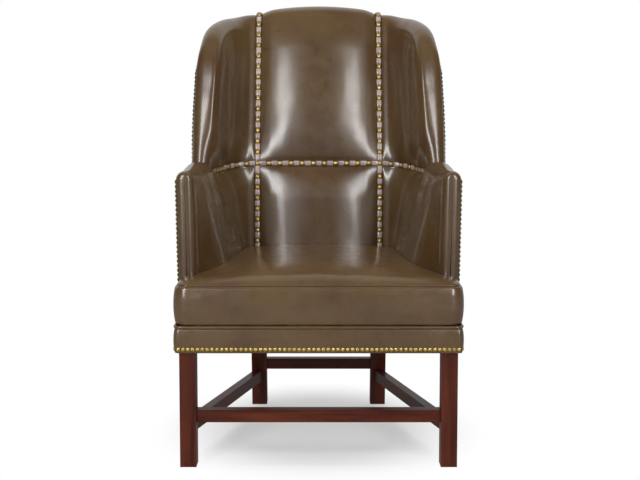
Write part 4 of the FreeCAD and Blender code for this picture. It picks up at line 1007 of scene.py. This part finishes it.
class Finish:
    """A material and the nodes that make it."""

    def __init__(self, name):
        self.material = bpy.data.materials.new(name)
        self.material.use_nodes = True
        self.nodes = self.material.node_tree.nodes
        self.nodes.clear()
        self.place = self.node("ShaderNodeTexCoord").outputs["Object"]

    def node(self, kind, settings=None, **inputs):
        """A node of a type, with its settings, such as an operation, and its inputs by name."""
        node = self.nodes.new(kind)
        for key, value in (settings or {}).items():
            setattr(node, key, value)
        for key, value in inputs.items():
            plug(node.inputs[key.replace("_", " ")], value)
        return node

    def value(self, node):
        return Value(self.nodes, node.outputs[0])

    def stretched(self, x, y, z):
        return self.node("ShaderNodeMapping", Vector=self.place, Scale=(x, y, z)).outputs[0]

    def noise(self, scale, detail=3.0, roughness=0.5, place=None, distortion=0.0):
        return self.value(self.node(
            "ShaderNodeTexNoise", Vector=place or self.place, Scale=scale, Detail=detail,
            Roughness=roughness, Distortion=distortion,
        ))

    def cells(self, scale):
        return self.value(self.node("ShaderNodeTexVoronoi", Vector=self.place, Scale=scale))

    def ramp(self, value, low, high, from_value=0.0, to_value=1.0):
        """A number mapped smoothly from one range to another."""
        node = self.node("ShaderNodeMapRange", {"interpolation_type": "SMOOTHSTEP"})
        for slot, number in zip(node.inputs, (value, low, high, from_value, to_value)):
            plug(slot, number)
        return self.value(node)

    def blend(self, share, first, second):
        """One colour turned into another by a share."""
        node = self.node("ShaderNodeMix", {"data_type": "RGBA"})
        plug(node.inputs[0], share)
        plug(node.inputs[6], first)
        plug(node.inputs[7], second)
        return node.outputs[2]

    def mixed(self, share, first, second):
        """One shader turned into another by a share."""
        node = self.node("ShaderNodeMixShader", Fac=share)
        plug(node.inputs[1], first.outputs[0])
        plug(node.inputs[2], second.outputs[0])
        return node

    def bump(self, height, strength, distance):
        return self.node("ShaderNodeBump", Height=height, Strength=strength, Distance=distance).outputs[0]

    def finished(self, shader):
        """The material, with a shader as its surface."""
        plug(self.nodes.new("ShaderNodeOutputMaterial").inputs[0], shader.outputs[0])
        return self.material

    def surface(self, **inputs):
        return self.finished(self.node("ShaderNodeBsdfPrincipled", **inputs))


def srgb(red, green, blue):
    """A colour as it is written for screens, in the linear values that shaders take."""
    def linear(level):
        level = level / 255
        return level / 12.92 if level <= 0.04045 else ((level + 0.055) / 1.055) ** 2.4

    return (linear(red), linear(green), linear(blue), 1.0)


def leather(name, base, dark, warm, gloss, grain=1.0):
    """Polished, hand-rubbed leather: olive-brown with warmer clouds, a fine pebble and soft scuffs."""
    finish = Finish(name)
    clouds = finish.noise(7.0, 4.0, 0.55)
    rub = finish.noise(26.0, 3.0, 0.6, distortion=0.6)
    colour = finish.blend(finish.ramp(clouds, 0.38, 0.66), base, warm)
    colour = finish.blend(finish.ramp(rub, 0.52, 0.8) * 0.35, colour, dark)
    pebble = finish.cells(720.0)
    fine = finish.noise(1500.0, 2.0)
    wrinkle = finish.noise(95.0, 4.0, 0.62, distortion=0.8)
    height = pebble * 0.35 + fine * 0.2 + wrinkle * 0.9
    normal = finish.bump(height, 0.16 * grain, 0.0012)
    rough = finish.ramp(finish.noise(34.0, 4.0, 0.6), 0.3, 0.75, gloss - 0.05, gloss + 0.08) + pebble * 0.05
    return finish.surface(
        Base_Color=colour, Roughness=rough, Specular_IOR_Level=0.5, Coat_Weight=1.0, Coat_Roughness=0.2,
        Normal=normal,
    )


def mahogany(name, run):
    """Dark lacquered mahogany, with its grain along the given axis."""
    finish = Finish(name)
    scale = [42.0, 42.0, 42.0]
    scale["xyz".index(run)] = 2.6
    fibres = finish.noise(1.0, 6.0, 0.6, finish.stretched(*scale), 0.5)
    pores = finish.noise(1.0, 2.0, 0.5, finish.stretched(*[s * 9 for s in scale]))
    broad = finish.noise(5.0, 2.0)
    colour = finish.blend(finish.ramp(fibres, 0.32, 0.7), srgb(58, 19, 9), srgb(94, 38, 17))
    colour = finish.blend(finish.ramp(broad, 0.4, 0.7) * 0.4, colour, srgb(46, 14, 7))
    colour = finish.blend(finish.ramp(pores, 0.6, 0.75) * 0.5, colour, srgb(24, 7, 4))
    normal = finish.bump(fibres * 0.6 + pores * 0.3, 0.12, 0.0008)
    return finish.surface(
        Base_Color=colour, Roughness=finish.ramp(fibres, 0.2, 0.8, 0.3, 0.44), Coat_Weight=0.1,
        Coat_Roughness=0.2, Specular_IOR_Level=0.25, Normal=normal,
    )


def antique_brass(name):
    """Nailheads of antique gold, in random patches of bright gold and brown tarnish."""
    finish = Finish(name)
    tarnish = finish.noise(420.0, 3.0, 0.6)
    colour = finish.blend(finish.ramp(tarnish, 0.42, 0.68), srgb(226, 196, 108), srgb(150, 116, 54))
    hammered = finish.noise(650.0, 2.0)
    return finish.surface(
        Base_Color=colour, Metallic=0.72, Roughness=finish.ramp(tarnish, 0.3, 0.8, 0.24, 0.42),
        Normal=finish.bump(hammered, 0.25, 0.0006),
    )


def plain(name, colour, roughness, scale=300.0, metallic=0.0, strength=0.2):
    """A simple hidden finish with a little texture."""
    finish = Finish(name)
    speckle = finish.noise(scale, 3.0)
    darker = tuple(c * 0.7 for c in colour[:3]) + (1.0,)
    return finish.surface(
        Base_Color=finish.blend(finish.ramp(speckle, 0.35, 0.7), colour, darker), Roughness=roughness,
        Metallic=metallic, Normal=finish.bump(speckle, strength, 0.001),
    )


LEATHER = leather("leather", srgb(88, 67, 39), srgb(58, 41, 22), srgb(80, 57, 34), 0.3)
# The tub's inside leather is a darker copy of the seat's leather: painted shade for the shade that falls
# inside the tub.
TUB_LEATHER_PAINTED_SHADE = leather("tub_leather_painted_shade", srgb(79, 59, 32), srgb(50, 35, 18), srgb(72, 50, 28), 0.3)
# The straps' light leather is a painted highlight, standing in for the lamps' reflections between the nails.
STRAP_PAINTED_HIGHLIGHT = leather(
    "strap_painted_highlight", srgb(164, 147, 139), srgb(116, 98, 90), srgb(146, 128, 121), 0.24, 0.6
)
# Painted shade on the straps beside their nails.
STRAP_PAINTED_SHADE = leather(
    "strap_painted_shade_by_nails", srgb(104, 84, 66), srgb(58, 42, 30), srgb(84, 64, 50), 0.3, 0.6
)
# Painted shadow: a dark line in the seat's seam groove and along the straps' edges.
SHADOW_LINE = plain("seam_shadow", srgb(44, 31, 20), 0.6)
# The nailheads' dark rims are painted shade.
NAIL_RIM_SHADE = plain("nail_rim_painted_shade", srgb(70, 54, 24), 0.45, 300.0, 0.5)
WOOD_UP = mahogany("mahogany_upright", "z")
WOOD_ACROSS = mahogany("mahogany_across", "x")
WOOD_BACK = mahogany("mahogany_back", "y")
BRASS = antique_brass("antique_brass")
RAW_WOOD = plain("raw_hardwood", srgb(190, 150, 105), 0.7, 60.0)
STEEL = plain("spring_steel", srgb(120, 120, 122), 0.4, 300.0, 1.0)
CLOTH = plain("black_cloth", srgb(38, 36, 35), 0.9, 900.0, 0.0, 0.5)
FELT = plain("glide_nylon", srgb(60, 50, 44), 0.55)


def dressed(obj, *materials):
    obj.data.materials.clear()
    for material in materials:
        obj.data.materials.append(material)


def placed(obj, slot, *nodes):
    """Gives a piece its body and hides the CAD nodes that it stands for; its slot is not used."""
    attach(obj, "root")
    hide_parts(*nodes)


def leather_piece(name, grid, material, *nodes, fill=None):
    """A closed leather piece over a grid of points; the fill is not used."""
    obj = face_out(skin(name, grid))
    dressed(obj, material)
    placed(obj, "leather", *nodes)
    return obj


def both_sides(name, grid, material, *nodes, fill=None):
    """A leather piece on the right and its mirror image on the left."""
    for side, sign in SIDES:
        own = [f"{node}_{side}" for node in nodes]
        leather_piece(f"{name}_{side}", grid * [sign, 1, 1], material, *own, fill=fill)


# Pieces

TUB_FILL = 0.85
SEAT_FILL = 0.8
BAND_NAIL_RISE = 0.0095
CORNER_NAILS = np.linspace(0.004, 0.262, 30)

for level, grid in (("upper", upper_back_grid()), ("lower", lower_back_grid())):
    nodes = f"foam_back_{level}", f"panel_back_{level}"
    leather_piece(f"back_pad_{level}", grid, TUB_LEATHER_PAINTED_SHADE, *nodes, fill=TUB_FILL)
both_sides("wing_pad", wing_grid(), TUB_LEATHER_PAINTED_SHADE, "foam_wing", "panel_wing", fill=TUB_FILL)
both_sides("arm_pad", arm_grid(), TUB_LEATHER_PAINTED_SHADE, "foam_arm", "panel_arm", fill=TUB_FILL)
seat_shape = seat_pad()
seat_nodes = "foam_seat", "panel_seat_top", "panel_boxing"
seat = leather_piece("seat_pad", seat_shape, LEATHER, *seat_nodes, fill=SEAT_FILL)
dressed(seat, LEATHER, SHADOW_LINE)
# The faces of the seam's groove get the painted shadow.
for k, face in enumerate(seat.data.polygons):
    if k // seat_shape.shape[1] == SEAM_RING:
        face.material_index = 1
leather_piece("lower_band", band_grid(), LEATHER, "panel_lower_band")
leather_piece("welt", welt_grid(), LEATHER, "seat_welt")
leather_piece("back_sheet", outside_back_grid(), LEATHER, "outside_back")
wing_row = wing_ribs()
arm_row = arm_ribs()[1:13] + [arm_rib(ARM_START)]
both_sides("wing_sheet", outside_grid(wing_row[1:], 0, 0.004), LEATHER, "outside_wing")
both_sides("arm_sheet", outside_grid(arm_row, HEM_DROP, 0.003), LEATHER, "outside_arm")

strap_paths, strap_nails = strap_parts()
cross_strap, cross_nails = cross_parts()
for side, sign in SIDES:
    lengths = [ribbon(f"strap_piece_{side}", *path, sign) for path in strap_paths]
    with bpy.context.temp_override(active_object=lengths[0], selected_editable_objects=lengths):
        bpy.ops.object.join()
    lengths[0].name = f"upright_strap_{side}"
    placed(face_out(lengths[0]), "leather", f"strap_{side}")
placed(face_out(cross_strap), "leather", "strap_cross")
strap_places = []
for spot, out in strap_nails + cross_nails:
    spot = spot + unit(out) * STRAP_STAND
    strap_places.append((spot, out))
    if abs(spot[0]) > 0.001:
        strap_places.append((spot * MIRROR, out * MIRROR))
placed(nailheads("strap_nailheads", strap_places, NAIL_RADIUS), "nail_brass", "strap_nails")

arm_tops = [arm_rib(WING_FOOT + (ARM_START - WING_FOOT) * share) for share in (0.1, 0.4, 0.7, 1)]
corner = nose_rib(0.3)
corner_out = unit(corner.normal - REAR * 0.12)
corner_spots = [corner.outer_shoulder + corner.run * step for step in CORNER_NAILS]
edge_places = edge_row(wing_row[2:], 0.004) + edge_row(arm_tops)
edge_places += trim_row(corner_spots, [corner_out] * len(corner_spots))
for side, sign in SIDES:
    places = [(spot * [sign, 1, 1], out * [sign, 1, 1]) for spot, out in edge_places]
    placed(nailheads(f"edge_nailheads_{side}", places, TRIM_RADIUS), "nail_brass", f"edge_nails_{side}")
band_points, band_normals = front_path(BAND_HALF, BAND_FRONT, BAND_CORNER, BAND_END - TRIM_RADIUS, 0)
band_places = trim_row(band_points + UP * (BAND_BOTTOM + BAND_NAIL_RISE), band_normals)
placed(nailheads("band_nailheads", band_places, TRIM_RADIUS), "nail_brass", "band_nails")

# CAD nodes, by the beginnings of their names; the first match counts

NODE_MATERIALS = (
    (WOOD_UP, "leg_"),
    (WOOD_ACROSS, ("stretcher_front", "stretcher_rear")),
    (WOOD_BACK, "stretcher"),
    (LEATHER, ("panel", "outside", "seat_welt")),
    (BRASS, ("strap_nails", "edge_nails", "band_nails")),
    (STRAP_PAINTED_HIGHLIGHT, "strap_"),
    (STEEL, "seat_springs"),
    (CLOTH, ("seat_deck", "dust_cover")),
    (FELT, "glides"),
    (RAW_WOOD, ""),
)
for node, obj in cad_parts.items():
    dressed(obj, next(material for material, starts in NODE_MATERIALS if node.startswith(starts)))

# Floor, light and camera

FLOOR_HALF = 14.0
FLOOR_GLOW = 0.42
FLOOR_MIRRORED = 0.25
SHADOW_NEAR, SHADOW_FAR = 0.20, 0.46
ROOM_FRONT, ROOM_BEHIND = 0.07, 0.5

scene = bpy.context.scene
scene.view_settings.view_transform = "Standard"


def white_floor():
    """A white floor that glows like the backdrop, less so round the chair, where it takes its shadow."""
    half = FLOOR_HALF
    corners = [(x, y, 0) for x, y in ((-half, -half), (half, -half), (half, half), (-half, half))]
    floor = mesh_object("floor", corners, [(0, 1, 2, 3)])
    finish = Finish("studio_floor")
    light = finish.node("ShaderNodeLightPath")
    paint = finish.node("ShaderNodeBsdfDiffuse", Color=(0.86, 0.86, 0.86, 1))
    glow = finish.node("ShaderNodeEmission", Color=(1, 1, 1, 1), Strength=1.0)
    distance = finish.node("ShaderNodeVectorMath", {"operation": "LENGTH"}, Vector=finish.place)
    reach = Value(finish.nodes, distance.outputs["Value"])
    far = finish.ramp(reach, SHADOW_NEAR, SHADOW_FAR, FLOOR_GLOW, 1.0)
    seen = finish.mixed(far * Value(finish.nodes, light.outputs["Is Camera Ray"]), paint, glow)
    dim = finish.node("ShaderNodeEmission", Color=(1, 1, 1, 1), Strength=FLOOR_MIRRORED)
    dressed(floor, finish.finished(finish.mixed(light.outputs["Is Glossy Ray"], seen, dim)))


def studio_world():
    """White as seen by the camera; to everything else a dim room, brighter behind the chair."""
    world = bpy.data.worlds.new("studio")
    scene.world = world
    world.use_nodes = True
    nodes = world.node_tree.nodes
    nodes.clear()
    share = Value(nodes, nodes.new("ShaderNodeLightPath").outputs["Is Camera Ray"])
    split = nodes.new("ShaderNodeSeparateXYZ")
    plug(split.inputs[0], nodes.new("ShaderNodeTexCoord").outputs["Generated"])
    behind = (Value(nodes, split.outputs[1]) * 2.5 - 0.3).limited()
    dim = behind * ROOM_BEHIND + ROOM_FRONT
    back = nodes.new("ShaderNodeBackground")
    plug(back.inputs["Color"], (1, 1, 1, 1))
    plug(back.inputs["Strength"], share + (1 - share) * dim)
    plug(nodes.new("ShaderNodeOutputWorld").inputs[0], back.outputs[0])


def softbox(name, spot, aim, width, height, watts, mirrored=True):
    """A rectangular lamp that looks at a point."""
    data = bpy.data.lights.new(name, "AREA")
    data.shape = "RECTANGLE"
    data.size = width
    data.size_y = height
    data.energy = watts
    lamp = bpy.data.objects.new(name, data)
    scene.collection.objects.link(lamp)
    lamp.location = spot
    lamp.rotation_euler = (Vector(aim) - Vector(spot)).to_track_quat("-Z", "Y").to_euler()
    lamp.visible_glossy = mirrored


PHOTO_WIDTH, PHOTO_HEIGHT = 640, 480
FOCAL_PIXELS = 1037
HORIZON_ROW = 105.5
CENTRE_COLUMN = 318.6
EYE_LEVEL = 0.8586
EYE_DISTANCE = 2.40
PITCH = math.radians(4.3)
SENSOR = 36.0


def photo_camera():
    """The photograph's camera: level with the back, its view moved down partly by tilt, partly by shift."""
    data = bpy.data.cameras.new("camera")
    data.sensor_width = SENSOR
    data.lens = FOCAL_PIXELS * SENSOR / PHOTO_WIDTH
    fallen = PHOTO_HEIGHT / 2 - HORIZON_ROW
    data.shift_y = -(fallen - FOCAL_PIXELS * math.tan(PITCH)) / PHOTO_WIDTH
    data.shift_x = (PHOTO_WIDTH / 2 - CENTRE_COLUMN) / PHOTO_WIDTH
    camera = bpy.data.objects.new("camera", data)
    scene.collection.objects.link(camera)
    camera.location = (0, FRONT_Y - EYE_DISTANCE, EYE_LEVEL)
    camera.rotation_euler = (math.pi / 2 - PITCH, 0, 0)
    scene.camera = camera


white_floor()
studio_world()
softbox("left_softbox", (-1.32, -2.5, 1.52), (0, 0.1, 0.8), 0.55, 2.0, 44)
softbox("right_softbox", (1.32, -2.5, 1.52), (0, 0.1, 0.8), 0.55, 2.0, 38)
softbox("top_softbox", (0, -0.2, 2.7), (0, -0.05, 0.4), 2.0, 1.4, 44, mirrored=False)
photo_camera()
